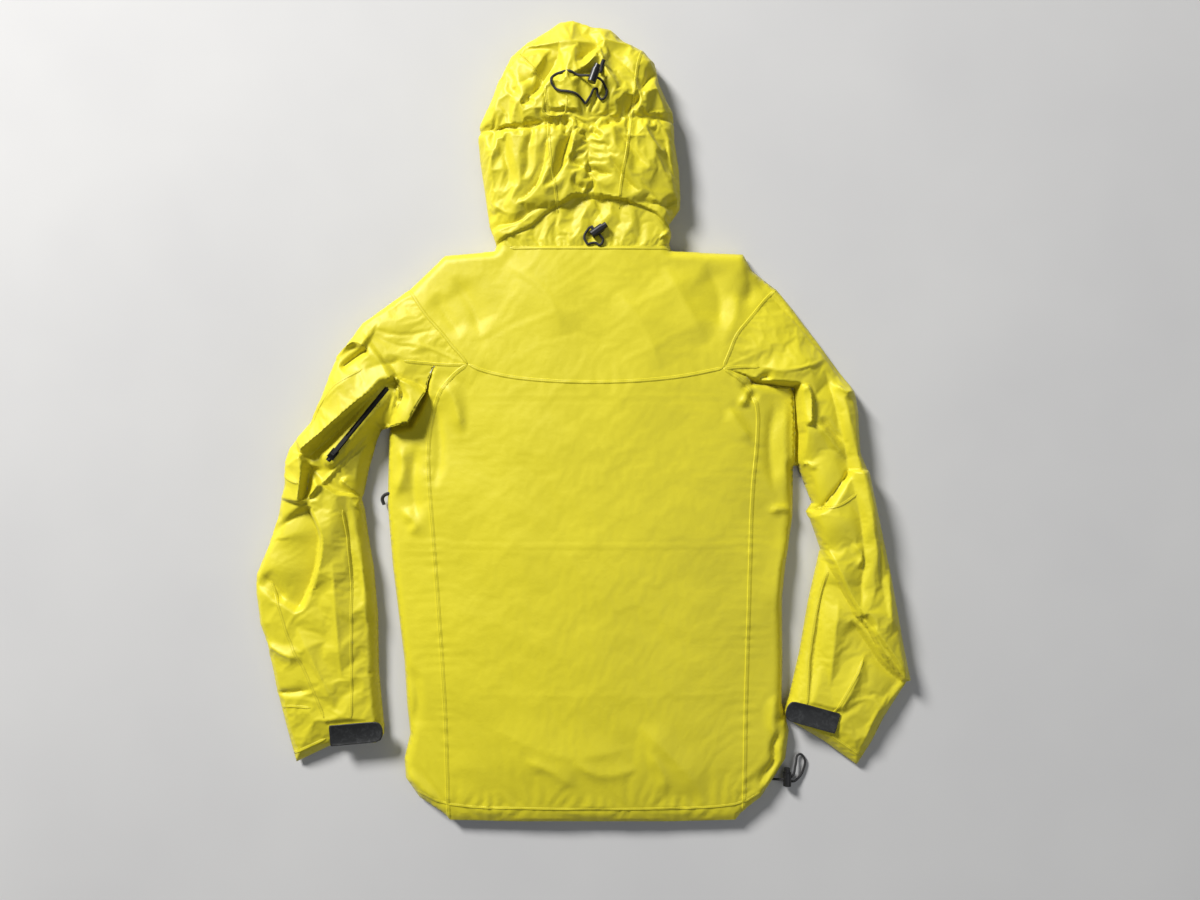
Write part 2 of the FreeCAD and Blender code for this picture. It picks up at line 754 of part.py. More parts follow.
def main_zip():
    """The separating front zip, which faces the floor, with its stops, box, flap, slider and pull."""
    frame = ("0", "collar_top - 2", "floor + zip_level", "0")
    tapes, teeth = chain("main_zip", "main_zip_length", "tape_width + 1")
    node("main_zip_tape_left", group("main_zip_tape_left", tapes[0]), frame)
    node("main_zip_tape_right", group("main_zip_tape_right", tapes[1]), frame)
    node("main_zip_teeth", group("main_zip_teeth", *teeth), frame)
    stops = [
        box(f"main_zip_stop{index}", x0, x1, "-1", "1", "tape_thick", "tape_thick + tooth_thick")
        for index, (x0, x1) in enumerate((("-chain_gap - 2.4", "-chain_gap"), ("chain_gap", "chain_gap + 2.4")))
    ]
    node("main_zip_top_stops", group("main_zip_top_stops", *stops), frame)
    end, start = "-main_zip_length", "-main_zip_length + 11"
    retainer = box("main_zip_retainer", "-6", "6", end, start, "tape_thick", "tape_thick + 3")
    inside = (f"{end} + 2", f"{start} + 1", "tape_thick", "tape_thick + 2")
    socket = box("main_zip_socket", "-chain_gap", "4", *inside)
    pin = box("main_zip_insert", "0", "3", f"{end} + 3", f"{start} - 1", "tape_thick", "tape_thick + 1.6")
    node("main_zip_box", cut("main_zip_box", retainer, socket), frame)
    node("main_zip_insertion_pin", group("main_zip_insertion_pin", pin), frame)
    node("main_zip_slider", slider("main_slider"), frame)
    node("main_zip_pull", pull("main_pull"), frame)
    flap = box("storm_flap", "-22", "22", "hem_level + 8", "collar_top - 6", "floor + 14.5", "floor + 15.3")
    node("storm_flap", flap)


def small_zip(name, length, frame):
    """A short zip with its slider and pull, faced down, or up if its frame lays it over."""
    tapes, teeth = chain(name, length, "8")
    node(f"{name}_chain", group(f"{name}_chain", *tapes, *teeth), frame)
    node(f"{name}_slider", slider(f"{name}_slide"), frame)
    node(f"{name}_pull", pull(f"{name}_puller"), frame)


def small_zips():
    level = "floor + zip_level"
    for name, x in (("left", "-pocket_x"), ("right", "pocket_x")):
        small_zip(f"pocket_zip_{name}", "pocket_zip_length", (x, "pocket_y", level, "0"))
    small_zip("pit_zip_left", "pit_zip_length", ("-353.8", "-284.4", "floor + 39", "left_zip_turn + 180", True))
    small_zip("pit_zip_right", "pit_zip_length", ("315.1", "-335.4", level, "right_upper_turn + 180"))


def cord(name, start, steps, frame):
    """A round cord swept along a path in the upright XZ plane of its own frame."""
    path = outline(f"{name}_path", start, steps, closed=False, upright=True)
    doc.recompute()
    first = path.Shape.Edges[0]
    begin = first.tangentAt(first.FirstParameter)
    circle = doc.addObject("Part::Circle", f"{name}_profile")
    bind(circle, Radius="cord_radius")
    circle.Placement = Placement(first.valueAt(first.FirstParameter), Rotation(Vector(0, 0, 1), begin))
    sweep = doc.addObject("Part::Sweep", f"{name}_sweep")
    sweep.Sections = [circle]
    sweep.Spine = (path, [f"Edge{index + 1}" for index in range(len(steps))])
    sweep.Solid = True
    sweep.Transition = "Round corner"
    node(name, group(name, sweep), frame)


def cord_lock(name, frame, sprung=True):
    """Barrel, spring and button. The cord crosses at the frame's origin along X; the button
    stands out of the barrel's +Y end."""
    shell = rod(f"{name}_shell", "lock_radius", "lock_low", "lock_high")
    bore = rod(f"{name}_bore", "bore_radius", "bore_low", "lock_high + 1")
    eye = rod(f"{name}_eye", "cord_hole", "-9", "9", along="x")
    node(f"{name}_barrel", cut(f"{name}_barrel", shell, bore, eye), frame)
    stem = rod(f"{name}_stem", "button_radius", "button_low", "button_high")
    slot = box(f"{name}_slot", "-9", "9", "slot_low", "slot_high", "-1.7", "1.7")
    node(f"{name}_button", cut(f"{name}_button", stem, slot), frame)
    if sprung:
        spring(name, frame)


def spring(name, frame):
    """The coil between the barrel's blind end and the button."""
    coil = doc.addObject("Part::Helix", f"{name}_coil")
    bind(coil, Radius="spring_radius", Height="3.9", Pitch="1.3")
    wire = doc.addObject("Part::Circle", f"{name}_wire")
    bind(wire, Radius="spring_wire")
    wire.Placement = Placement(Vector(value("spring_radius"), 0, 0), Rotation(Vector(1, 0, 0), 90))
    turns = doc.addObject("Part::Sweep", f"{name}_turns")
    turns.Sections = [wire]
    turns.Spine = (coil, ["Edge1"])
    turns.Solid = True
    turns.Frenet = True
    held = node(f"{name}_spring", group(f"{name}_spring", turns))
    x, y, z, turn = frame
    turned = Rotation(Vector(0, 0, 1), value(turn))
    seat = turned.multVec(Vector(0, value("bore_low") + 0.45, 0))
    base = Vector(value(x), value(y), value(z))
    held.Placement = Placement(base + seat, turned * Rotation(Vector(1, 0, 0), -90))


def cords():
    """The hood's and collar's back adjusters, and the hem cord with a lock at each side."""
    hood_frame = ("0", "214", "floor + hood_lock_level", "-20")
    cord_lock("hood_lock", hood_frame)
    cord("hood_cord", ("-42", "-6.5"), [("-14", "0"), ("14", "0"), ("42", "-11.5")], hood_frame)
    collar_frame = ("4", "20", "floor + collar_lock_level", "-55")
    cord_lock("collar_lock", collar_frame)
    cord("collar_cord", ("-24", "-4"), [("-9", "0"), ("9", "0"), ("24", "-4")], collar_frame)
    hem = ("hem_cord_y", "floor + hem_cord_level", "0")
    cord_lock("hem_lock_left", ("-226", *hem), sprung=False)
    cord_lock("hem_lock_right", ("264", *hem), sprung=False)
    run = [("-212", "0"), ("-120", "12"), ("0", "17"), ("120", "12"), ("236", "0"), ("290", "0")]
    cord("hem_cord", ("-238", "0"), run, ("0", *hem))


def main():
    make_sheet()
    torso()
    collar()
    hood()
    for name, side in (("left", -1), ("right", 1)):
        sleeve(name, side)
        cuff_tab(name, side)
    main_zip()
    small_zips()
    cords()
    doc.recompute()
    write()


def write():
    """Checks every object, then writes each node to its own STEP file."""
    broken = [thing.Label for thing in doc.Objects if "Invalid" in thing.State or "Error" in thing.State]
    if broken:
        raise SystemExit(f"these objects failed: {broken}")
    for label, thing in nodes.items():
        if thing.Shape.isNull() or not thing.Shape.isValid() or not thing.Shape.Solids:
            raise SystemExit(f"{label} has no valid solid")
    os.makedirs("parts", exist_ok=True)
    for label, thing in nodes.items():
        thing.Shape.exportStep(f"parts/{label}.step")
    print(f"{len(nodes)} nodes written")


main()
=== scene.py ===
import json
import math

import bpy
import numpy as np
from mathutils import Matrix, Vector
from mathutils.bvhtree import BVHTree
from mathutils.geometry import delaunay_2d_cdt


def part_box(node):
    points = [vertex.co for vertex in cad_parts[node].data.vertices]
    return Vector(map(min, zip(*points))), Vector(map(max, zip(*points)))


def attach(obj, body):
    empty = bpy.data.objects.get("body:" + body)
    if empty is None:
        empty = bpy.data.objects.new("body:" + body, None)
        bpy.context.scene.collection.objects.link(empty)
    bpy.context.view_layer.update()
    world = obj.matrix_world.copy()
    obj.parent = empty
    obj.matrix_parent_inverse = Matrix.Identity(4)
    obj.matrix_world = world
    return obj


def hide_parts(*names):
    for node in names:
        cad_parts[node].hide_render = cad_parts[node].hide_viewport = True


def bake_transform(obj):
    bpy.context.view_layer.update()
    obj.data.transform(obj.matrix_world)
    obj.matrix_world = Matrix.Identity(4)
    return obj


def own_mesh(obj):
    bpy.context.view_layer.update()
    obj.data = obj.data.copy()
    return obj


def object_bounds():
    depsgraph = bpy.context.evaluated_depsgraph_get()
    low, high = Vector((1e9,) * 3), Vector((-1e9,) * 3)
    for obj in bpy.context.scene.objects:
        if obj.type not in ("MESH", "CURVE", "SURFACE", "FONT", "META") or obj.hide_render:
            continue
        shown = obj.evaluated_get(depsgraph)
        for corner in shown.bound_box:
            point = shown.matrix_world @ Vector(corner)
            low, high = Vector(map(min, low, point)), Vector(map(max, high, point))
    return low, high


# A hooded hardshell jacket laid flat, back up. Lengths are millimetres in the CAD frame (+X wearer's
# right, +Y to the hood, +Z up, origin at the hanging loop) and heights are above the floor, until a
# mesh is made.

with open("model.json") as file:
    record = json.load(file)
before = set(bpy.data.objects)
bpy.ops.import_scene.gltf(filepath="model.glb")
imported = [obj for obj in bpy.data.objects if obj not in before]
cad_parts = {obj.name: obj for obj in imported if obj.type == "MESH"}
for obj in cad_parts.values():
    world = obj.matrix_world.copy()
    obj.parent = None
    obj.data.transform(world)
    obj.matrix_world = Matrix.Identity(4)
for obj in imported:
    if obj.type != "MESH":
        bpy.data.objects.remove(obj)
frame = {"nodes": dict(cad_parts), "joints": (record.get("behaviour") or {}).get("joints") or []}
cad_box = [list(corner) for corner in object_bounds()]
FLOOR = cad_box[0][2] * 1000
joints = {joint["name"]: joint for joint in frame["joints"]}
rng = np.random.default_rng(7)


def pivot(name):
    return np.array(joints[name]["pos_m"][:2]) * 1000


SHOULDER = {"left": pivot("shoulder_left"), "right": pivot("shoulder_right")}
# the direction straight down each upper sleeve
ARM_WAY = {"left": np.array([-0.418, -0.908]), "right": np.array([0.2756, -0.9613])}
# how far down the sleeve a shoulder and an elbow bend would start and stop, read but not acted on, and where
# its two pieces meet
SHOULDER_BEND = {"left": (30, 120), "right": (30, 104)}
ELBOW_BEND = {"left": (210, 380), "right": (255, 400)}
ARM_CUT = {"left": 207, "right": 252}
# how far above the neck seam a bend of the hood's cloth would start and stop, read but not acted on
HOOD_BEND = (20, 85)


# ---------------------------------------------------------------- plane geometry


def points(*pairs):
    return np.array(pairs, float)


def square_to(way):
    """The direction to the left of a direction in plan."""
    return np.array([-way[1], way[0]])


def resample(path, step):
    """Evenly spaced points along a polyline, corners kept."""
    out = [path[0]]
    for a, b in zip(path[:-1], path[1:]):
        count = max(1, int(round(np.linalg.norm(b - a) / step)))
        out += [a + (b - a) * (k + 1) / count for k in range(count)]
    return np.array(out)


def closed(loop):
    return np.vstack([loop, loop[:1]])


def rounded(path, rounds=1):
    """An open polyline with its corners cut, ends kept."""
    for _ in range(rounds):
        a, b = path[:-1], path[1:]
        mixed = np.empty((2 * len(a), 2))
        mixed[0::2], mixed[1::2] = a * 0.78 + b * 0.22, a * 0.22 + b * 0.78
        path = np.vstack([path[:1], mixed[1:-1], path[-1:]])
    return path


def nearest(where, path):
    """For each point its distance to the polyline, positive on the left, and its place along it, and then
    the polyline's length."""
    a, b = path[:-1], path[1:]
    run = np.maximum(np.linalg.norm(b - a, axis=1), 1e-9)
    start = np.concatenate([[0], np.cumsum(run)])
    best = np.full(len(where), 1e9)
    sign, along = np.ones(len(where)), np.zeros(len(where))
    for k, d in enumerate((b - a) / run[:, None]):
        rel = where - a[k]
        t = np.clip(rel @ d, 0, run[k])
        off = rel - t[:, None] * d
        gap = np.hypot(off[:, 0], off[:, 1])
        closer = gap < best
        best[closer] = gap[closer]
        sign[closer] = np.where(d[0] * rel[closer, 1] >= d[1] * rel[closer, 0], 1, -1)
        along[closer] = start[k] + t[closer]
    return best * sign, along, start[-1]


def near(where, path, reach):
    """1 on the polyline, fading to nothing beyond its reach."""
    return np.exp(-((nearest(where, path)[0] / reach) ** 2))


def inside(where, loop):
    """True for points inside a closed polygon."""
    x, y = where[:, 0], where[:, 1]
    hit = np.zeros(len(where), bool)
    for (x0, y0), (x1, y1) in zip(loop, np.roll(loop, -1, axis=0)):
        if y0 != y1:
            hit ^= ((y0 > y) != (y1 > y)) & (x < (x1 - x0) * (y - y0) / (y1 - y0) + x0)
    return hit


def depth(where, loop):
    """Distance inside a closed polygon, negative outside."""
    gap = np.abs(nearest(where, closed(loop))[0])
    return np.where(inside(where, loop), gap, -gap)


def smooth(t):
    t = np.clip(t, 0, 1)
    return t * t * (3 - 2 * t)


def towards(a, b, share):
    """From a at no share to b at a full one."""
    return a + (b - a) * share


def bulge(t):
    """A quarter-round rise from 0 to 1."""
    return np.sqrt(1 - (1 - np.clip(t, 0, 1)) ** 2)


def table(value, stops):
    """Straight interpolation through (at, result) stops."""
    at, result = zip(*sorted(stops))
    return np.interp(value, at, result)


def lattice(loop, step, lines=(), holes=(), edge_step=None):
    """Triangulates a polygon: a hexagonal lattice of points inside it, with the lines followed by edges."""
    edge_step = edge_step or step
    edges = [resample(closed(ring), edge_step)[:-1] for ring in (loop, *holes)]
    kept = [resample(line, step) for line in lines]
    low, high = loop.min(0), loop.max(0)
    rows = np.arange(low[1], high[1], step * math.sqrt(3) / 2)
    across = np.arange(low[0], high[0], step)
    staggered = [across + (k % 2) * step / 2 for k in range(len(rows))]
    grid = np.vstack([np.column_stack([row, np.full(len(row), y)]) for row, y in zip(staggered, rows)])
    grid += rng.uniform(-0.12, 0.12, grid.shape) * step
    grid = grid[inside(grid, loop)]
    for line in [closed(ring) for ring in edges] + kept:
        grid = grid[np.abs(nearest(grid, line)[0]) > step * 0.55]
    links, count = [], 0
    for line, ends in [(ring, 0) for ring in edges] + [(line, 1) for line in kept]:
        links += [(count + k, count + (k + 1) % len(line)) for k in range(len(line) - ends)]
        count += len(line)
    flat = np.vstack([*edges, *kept, grid])
    made = delaunay_2d_cdt([Vector(p) for p in flat], links, [], 1, 1e-4)
    out = np.array([tuple(p) for p in made[0]])
    faces = np.array([f for f in made[2] if len(f) == 3])
    middle = out[faces].mean(1)
    keep = inside(middle, loop)
    for ring in holes:
        keep &= ~inside(middle, ring)
    a, b, c = (out[faces[:, k]] for k in range(3))
    turn = (b[:, 0] - a[:, 0]) * (c[:, 1] - a[:, 1]) - (b[:, 1] - a[:, 1]) * (c[:, 0] - a[:, 0])
    faces[turn < 0] = faces[turn < 0][:, ::-1]
    keep &= np.abs(turn) > 1e-6
    used, index = np.unique(faces[keep], return_inverse=True)
    return out[used], index.reshape(-1, 3)


# ---------------------------------------------------------------- relief


class Fold:
    """A crease: its height on the path, how far it reaches to the path's left and right, how sharply it
    falls away, and the share of its length over which each end dies out."""

    def __init__(self, path, height, left, right, power=2.1, ends=0.3):
        self.path = rounded(points(*path), 3)
        self.height, self.power, self.ends = height, power, ends
        # a sharp crease looks narrower than its reach
        wider = 1.0 if power < 2 else 1.5
        self.left, self.right = left * wider, right * wider

    def lift(self, where):
        gap, along, length = nearest(where, self.path)
        fade = smooth(np.minimum(along, length - along) / (self.ends * length) + 0.06)
        # no crease runs evenly along its length
        sway = 1 + 0.18 * np.sin(along / 11 + self.height * 3)
        reach = np.where(gap > 0, self.left, self.right) * (0.45 + 0.55 * fade) * sway
        return self.height * fade * np.clip(1 - np.abs(gap) / reach, 0, 1) ** self.power

    def lines(self):
        return [self.path] if min(self.left, self.right) < 14 else []


class Layer:
    """A cloth layer lying over another: everything inside the polygon is raised, with one soft border."""

    def __init__(self, loop, height, soft):
        self.loop, self.height, self.soft = points(*loop), height, soft

    def lift(self, where):
        return self.height * smooth(depth(where, self.loop) / self.soft + 0.5)

    def lines(self):
        return []


def pucker(where, path, height, wave, reach, seed):
    """Ruffles across a seam, uneven in size and spacing."""
    gap, along, length = nearest(where, path)
    phase = np.random.default_rng(seed).uniform(0, 6.28, 3)
    travel = along / wave * math.tau
    shape = np.sin(travel + phase[0] + 1.4 * np.sin(travel * 0.21 + phase[1]))
    size = 0.55 + 0.45 * np.sin(travel * 0.13 + phase[2])
    ends = smooth(np.minimum(along, length - along) / 12)
    return height * shape * size * ends * np.exp(-np.abs(gap) / reach)


def drift(where, size, seed):
    """Smooth uneven relief, about -1 to 1."""
    turn = np.random.default_rng(seed)
    total = np.zeros(len(where))
    for _ in range(14):
        angle, wave = turn.uniform(0, math.tau), size * turn.uniform(0.6, 1.7)
        way = [math.cos(angle), math.sin(angle)]
        total += np.sin(where @ way / wave * math.tau + turn.uniform(0, math.tau))
    return total / 5


# ---------------------------------------------------------------- the garment's flat outlines

TORSO = points(
    (88, 0), (90, 9), (101, 9), (106, 0), (204, -4), (216, -26), (250, -52), (235, -65), (211, -94),
    (191, -117), (182, -141), (173, -162), (206, -174), (218, -183), (271, -188), (273, -245),
    (272, -361), (262, -430), (257.5, -473), (258, -560), (257, -618), (267, -656), (262, -695),
    (246, -721), (228, -748), (192, -775), (100, -777), (0, -777), (-100, -777), (-196, -775),
    (-239, -748), (-258, -721), (-260, -695), (-252, -660), (-256, -626), (-260, -560), (-268, -495),
    (-276, -430), (-283, -347), (-281, -249), (-279, -225), (-268, -195), (-245, -172), (-215, -160),
    (-169, -157), (-180, -143), (-191, -132), (-203, -116), (-228, -89), (-252, -52), (-204, -6),
    (-136, 0), (-134, 8), (-92, 9), (-88, 0),
)
HOOD = points(
    (-100, 0), (-132, 3), (-143, 34), (-150, 83), (-156, 124), (-158, 146), (-155, 165), (-147, 190),
    (-132, 227), (-114, 261), (-92, 282), (-69, 294), (-46, 309), (-27, 311), (3, 302), (24, 297),
    (41, 283), (68, 269), (83, 252), (88, 230), (98, 207), (106, 186), (109, 176), (106, 168), (112, 135),
    (116, 110), (118, 72), (117, 56), (102, 35), (105, 18), (102, 8), (84, 0), (0, 0),
)
ARM_LEFT = points(
    (-252, -52), (-316, -98), (-324, -109), (-354, -152), (-362, -170), (-386, -234), (-416, -269),
    (-423, -288), (-423, -320), (-432, -362), (-445, -401), (-462, -441), (-462, -469), (-457, -510),
    (-447, -537), (-434, -601), (-422, -649), (-408, -699), (-360, -676), (-299, -673), (-288, -661),
    (-288, -646), (-295, -573), (-296, -495), (-302, -430), (-310, -386), (-314, -355), (-317, -336),
    (-310, -301), (-298, -258), (-292, -245), (-275, -242), (-247, -235), (-235, -212), (-226, -197),
    (-223, -180), (-215, -160), (-169, -157), (-180, -143), (-191, -132), (-203, -116), (-228, -89),
)
ARM_RIGHT = points(
    (250, -52), (235, -65), (211, -94), (191, -117), (182, -141), (173, -162), (205, -175), (235, -200),
    (256, -225), (264, -262), (268, -295), (279, -293), (298, -344), (290, -356), (309, -408),
    (293, -478), (281, -548), (267, -609), (257, -636), (314, -670), (360, -703), (381, -670),
    (397, -638), (431, -585), (424, -555), (411, -480), (396, -403), (384, -348), (374, -306),
    (364, -277), (362, -222), (356, -192), (313, -133), (279, -88),
)


def between(loop, first, last):
    """The corners of a loop from one corner to another, in list order."""
    ring = [tuple(p) for p in loop]
    a, b = ring.index(first), ring.index(last)
    return loop[a : b + 1]


# the torso and both arms together, as seen from above
BODY_OUTLINE = np.vstack([
    between(TORSO, (106, 0), (250, -52)),
    between(ARM_RIGHT[::-1], (279, -88), (268, -295)),
    between(TORSO, (272, -361), (-281, -249)),
    between(ARM_LEFT[::-1], (-292, -245), (-252, -52)),
    points((-204, -6), (-136, 0), (-134, 4), (-134, 70), (104, 70), (104, 4)),
])
HOOD_OUTLINE = np.vstack([HOOD[1:-3], points((104, -70), (-134, -70))])
ARMHOLE = {
    "left": between(TORSO, (-169, -157), (-252, -52))[::-1],
    "right": between(TORSO, (250, -52), (173, -162)),
}
ARMPIT = {
    "left": np.vstack([ARMHOLE["left"], points((-215, -160), (-223, -178))]),
    "right": np.vstack([ARMHOLE["right"], points((206, -174))]),
}
YOKE = points(
    (-169, -157), (-150, -166), (-110, -175), (-60, -180), (0, -182), (60, -180), (117, -174),
    (173, -162),
)
SIDE = {
    "left": points(
        (-169, -157), (-190, -172), (-212, -200), (-226, -267), (-219, -361), (-205, -548), (-200, -640),
        (-197, -775),
    ),
    "right": points(
        (173, -162), (206, -183), (222, -215), (220, -267), (213, -324), (208, -497), (204, -640),
        (203, -768),
    ),
}
HOOD_SEAM = {
    "left": points(
        (-108, 265), (-92, 246), (-76, 227), (-66, 212), (-62, 190), (-60, 168), (-58, 120), (-50, 70),
        (-48, 45),
    ),
    "right": points((66, 266), (61, 250), (58, 238), (54, 205), (50, 176), (44, 120), (36, 84), (34, 50)),
}
NECK = points(
    (-135, 4), (-115, 14), (-88, 24), (-56, 50), (-29, 66), (0, 66), (43, 60), (82, 43), (98, 26),
    (84, 11),
)

# ---------------------------------------------------------------- creases


TORSO_FOLDS = [
    # soft pulls below the neck and over the shoulder blades
    Fold(((-190, -40), (-165, -75), (-150, -120)), -5, 30, 26),
    Fold(((-120, -20), (-60, -60), (-40, -120)), 3, 60, 50),
    Fold(((150, -20), (170, -60), (168, -110)), -5, 24, 30),
    Fold(((205, -20), (214, -52), (206, -84)), -5, 18, 22),
    Fold(((95, -25), (120, -70), (150, -130)), 4, 30, 40),
    Fold(((30, -60), (70, -110), (90, -165)), 3, 40, 40),
    # creases running out of both armpits
    Fold(((-206, -176), (-186, -200), (-176, -250)), 6, 12, 20),
    Fold(((-216, -205), (-206, -262), (-214, -330)), -4, 10, 14),
    Fold(((-240, -262), (-248, -320), (-238, -372)), -6, 18, 16),
    Fold(((-262, -262), (-256, -300), (-270, -336)), 5, 12, 10),
    Fold(((-252, -386), (-236, -372), (-262, -352)), 4, 9, 12),
    Fold(((197, -176), (206, -192), (219, -208)), -9, 8, 9),
    Fold(((208, -186), (206, -200), (196, -214)), 7, 9, 9),
    Fold(((262, -200), (258, -262), (264, -340)), 5, 10, 16),
    Fold(((246, -206), (236, -262), (244, -330)), -4, 12, 12),
    Fold(((236, -356), (255, -349), (271, -357)), 5, 8, 9),
    Fold(((180, -215), (196, -240), (212, -262)), 4, 10, 14),
    Fold(((268, -380), (250, -430), (246, -500)), 4, 12, 20),
    # long soft swells over the back and the crumples above the hem
    Fold(((-150, -640), (-40, -690), (60, -668)), 2.5, 36, 30),
    Fold(((-96, -688), (-60, -700), (-20, -728)), 3, 14, 12),
    Fold(((-30, -690), (10, -712), (60, -700)), 3, 16, 12),
    Fold(((70, -676), (92, -700), (96, -738)), 3, 12, 16),
    Fold(((60, -640), (120, -700), (150, -742)), 4, 24, 28),
    Fold(((-250, -560), (-236, -610), (-248, -660)), -4, 12, 14),
    Fold(((-256, -700), (-238, -725), (-205, -752)), 4, 10, 10),
    Fold(((254, -650), (243, -672), (246, -694), (232, -712), (222, -734)), -8, 6, 8),
    Fold(((246, -600), (240, -640), (246, -664)), 4, 10, 10),
]
HOOD_FOLDS = [
    # brow ridge under the smooth brim
    Fold(((-108, 266), (-48, 268), (-24, 266), (16, 271), (67, 266)), 5, 22, 7, 2.0),
    # deep valleys running down from the brow to the crown cord
    Fold(((-48, 268), (-51, 249), (-60, 232), (-72, 212), (-88, 195), (-101, 189)), -17, 9, 26, 2.0, 0.35),
    Fold(((-60, 262), (-74, 240), (-90, 216), (-112, 198)), 7, 12, 18),
    Fold(((-101, 189), (-92, 187), (-84, 196)), -8, 6, 6),
    Fold(((-116, 196), (-98, 214), (-78, 226)), -8, 12, 8),
    Fold(((-128, 226), (-104, 246), (-66, 258)), 5, 10, 12),
    Fold(((16, 271), (0, 263), (-15, 250), (-24, 234)), -14, 8, 20, 2.0, 0.35),
    Fold(((9, 259), (-2, 243), (-22, 226), (-49, 211)), 9, 9, 10),
    Fold(((-26, 262), (-32, 242), (-40, 224)), 5, 12, 12),
    Fold(((-10, 232), (-24, 222), (-40, 216)), -7, 6, 6),
    Fold(((8, 262), (10, 240), (20, 220), (36, 208)), 8, 12, 14),
    Fold(((14, 262), (34, 246), (58, 222)), -6, 12, 10),
    Fold(((84, 236), (72, 226), (66, 214), (58, 202)), -12, 9, 16, 2.0, 0.35),
    Fold(((58, 204), (60, 194), (50, 182), (43, 168)), -11, 6, 13, 2.0, 0.35),
    Fold(((92, 212), (76, 206), (64, 196)), 5, 9, 8),
    Fold(((104, 186), (88, 182), (70, 190)), -5, 8, 8),
    # the band above the cinch line, turned down in two flaps
    Fold(((-72, 166), (-62, 158), (-50, 156), (-38, 160), (-33, 168)), -11, 6, 12, 2.0, 0.35),
    Fold(((-70, 172), (-58, 166), (-44, 166), (-36, 172)), 6, 8, 6),
    Fold(((16, 169), (21, 161), (32, 166), (43, 165)), -10, 5, 12, 2.0, 0.35),
    Fold(((-133, 161), (-124, 153), (-112, 154), (-105, 160)), -8, 6, 7, 2.0, 0.12),
    Fold(((-100, 162), (-92, 156), (-84, 152), (-78, 162)), -9, 5, 6, 2.0, 0.12),
    Fold(((-152, 162), (-147, 153)), -6, 5, 5, 2.0, 0.1),
    Fold(((-66, 184), (-50, 178), (-34, 190)), 3, 6, 8),
    # valleys falling from the cinch line over the back of the head
    Fold(((-30, 153), (-38, 130), (-44, 104), (-56, 86), (-68, 75)), -12, 8, 20, 2.0, 0.35),
    Fold(((-24, 150), (-30, 124), (-36, 98)), 5, 10, 9),
    Fold(((-52, 139), (-68, 135), (-67, 122), (-73, 92), (-88, 70), (-108, 61)), -11, 8, 19, 2.0, 0.35),
    Fold(((-84, 150), (-92, 128), (-90, 104), (-100, 84)), -7, 12, 10),
    Fold(((-118, 148), (-126, 120), (-114, 96), (-124, 70)), -6, 14, 10),
    Fold(((-132, 140), (-144, 112), (-146, 80)), 4, 12, 10),
    Fold(((-140, 60), (-116, 44), (-90, 48)), 6, 12, 10),
    Fold(((-18, 148), (-12, 142), (-10, 132)), -6, 5, 5),
    Fold(((-8, 150), (4, 144), (12, 134)), -6, 5, 6),
    Fold(((-36, 114), (-24, 106), (-14, 98)), -8, 6, 7),
    Fold(((-16, 98), (2, 96), (26, 90)), -8, 6, 8, 2.0),
    Fold(((-30, 92), (-26, 78), (-10, 74)), -6, 7, 7),
    Fold(((6, 84), (-4, 74), (-16, 68)), -6, 5, 5),
    Fold(((20, 112), (32, 98), (50, 78), (62, 70)), -7, 9, 10),
    Fold(((30, 150), (48, 132), (60, 112), (74, 100)), -7, 12, 12),
    Fold(((62, 160), (78, 136), (92, 120)), 5, 14, 12),
    Fold(((96, 150), (98, 118), (108, 90)), -5, 10, 12),
    Fold(((112, 66), (98, 58), (90, 48)), -9, 8, 8),
    Fold(((70, 66), (88, 58), (104, 44)), 6, 8, 8),
]
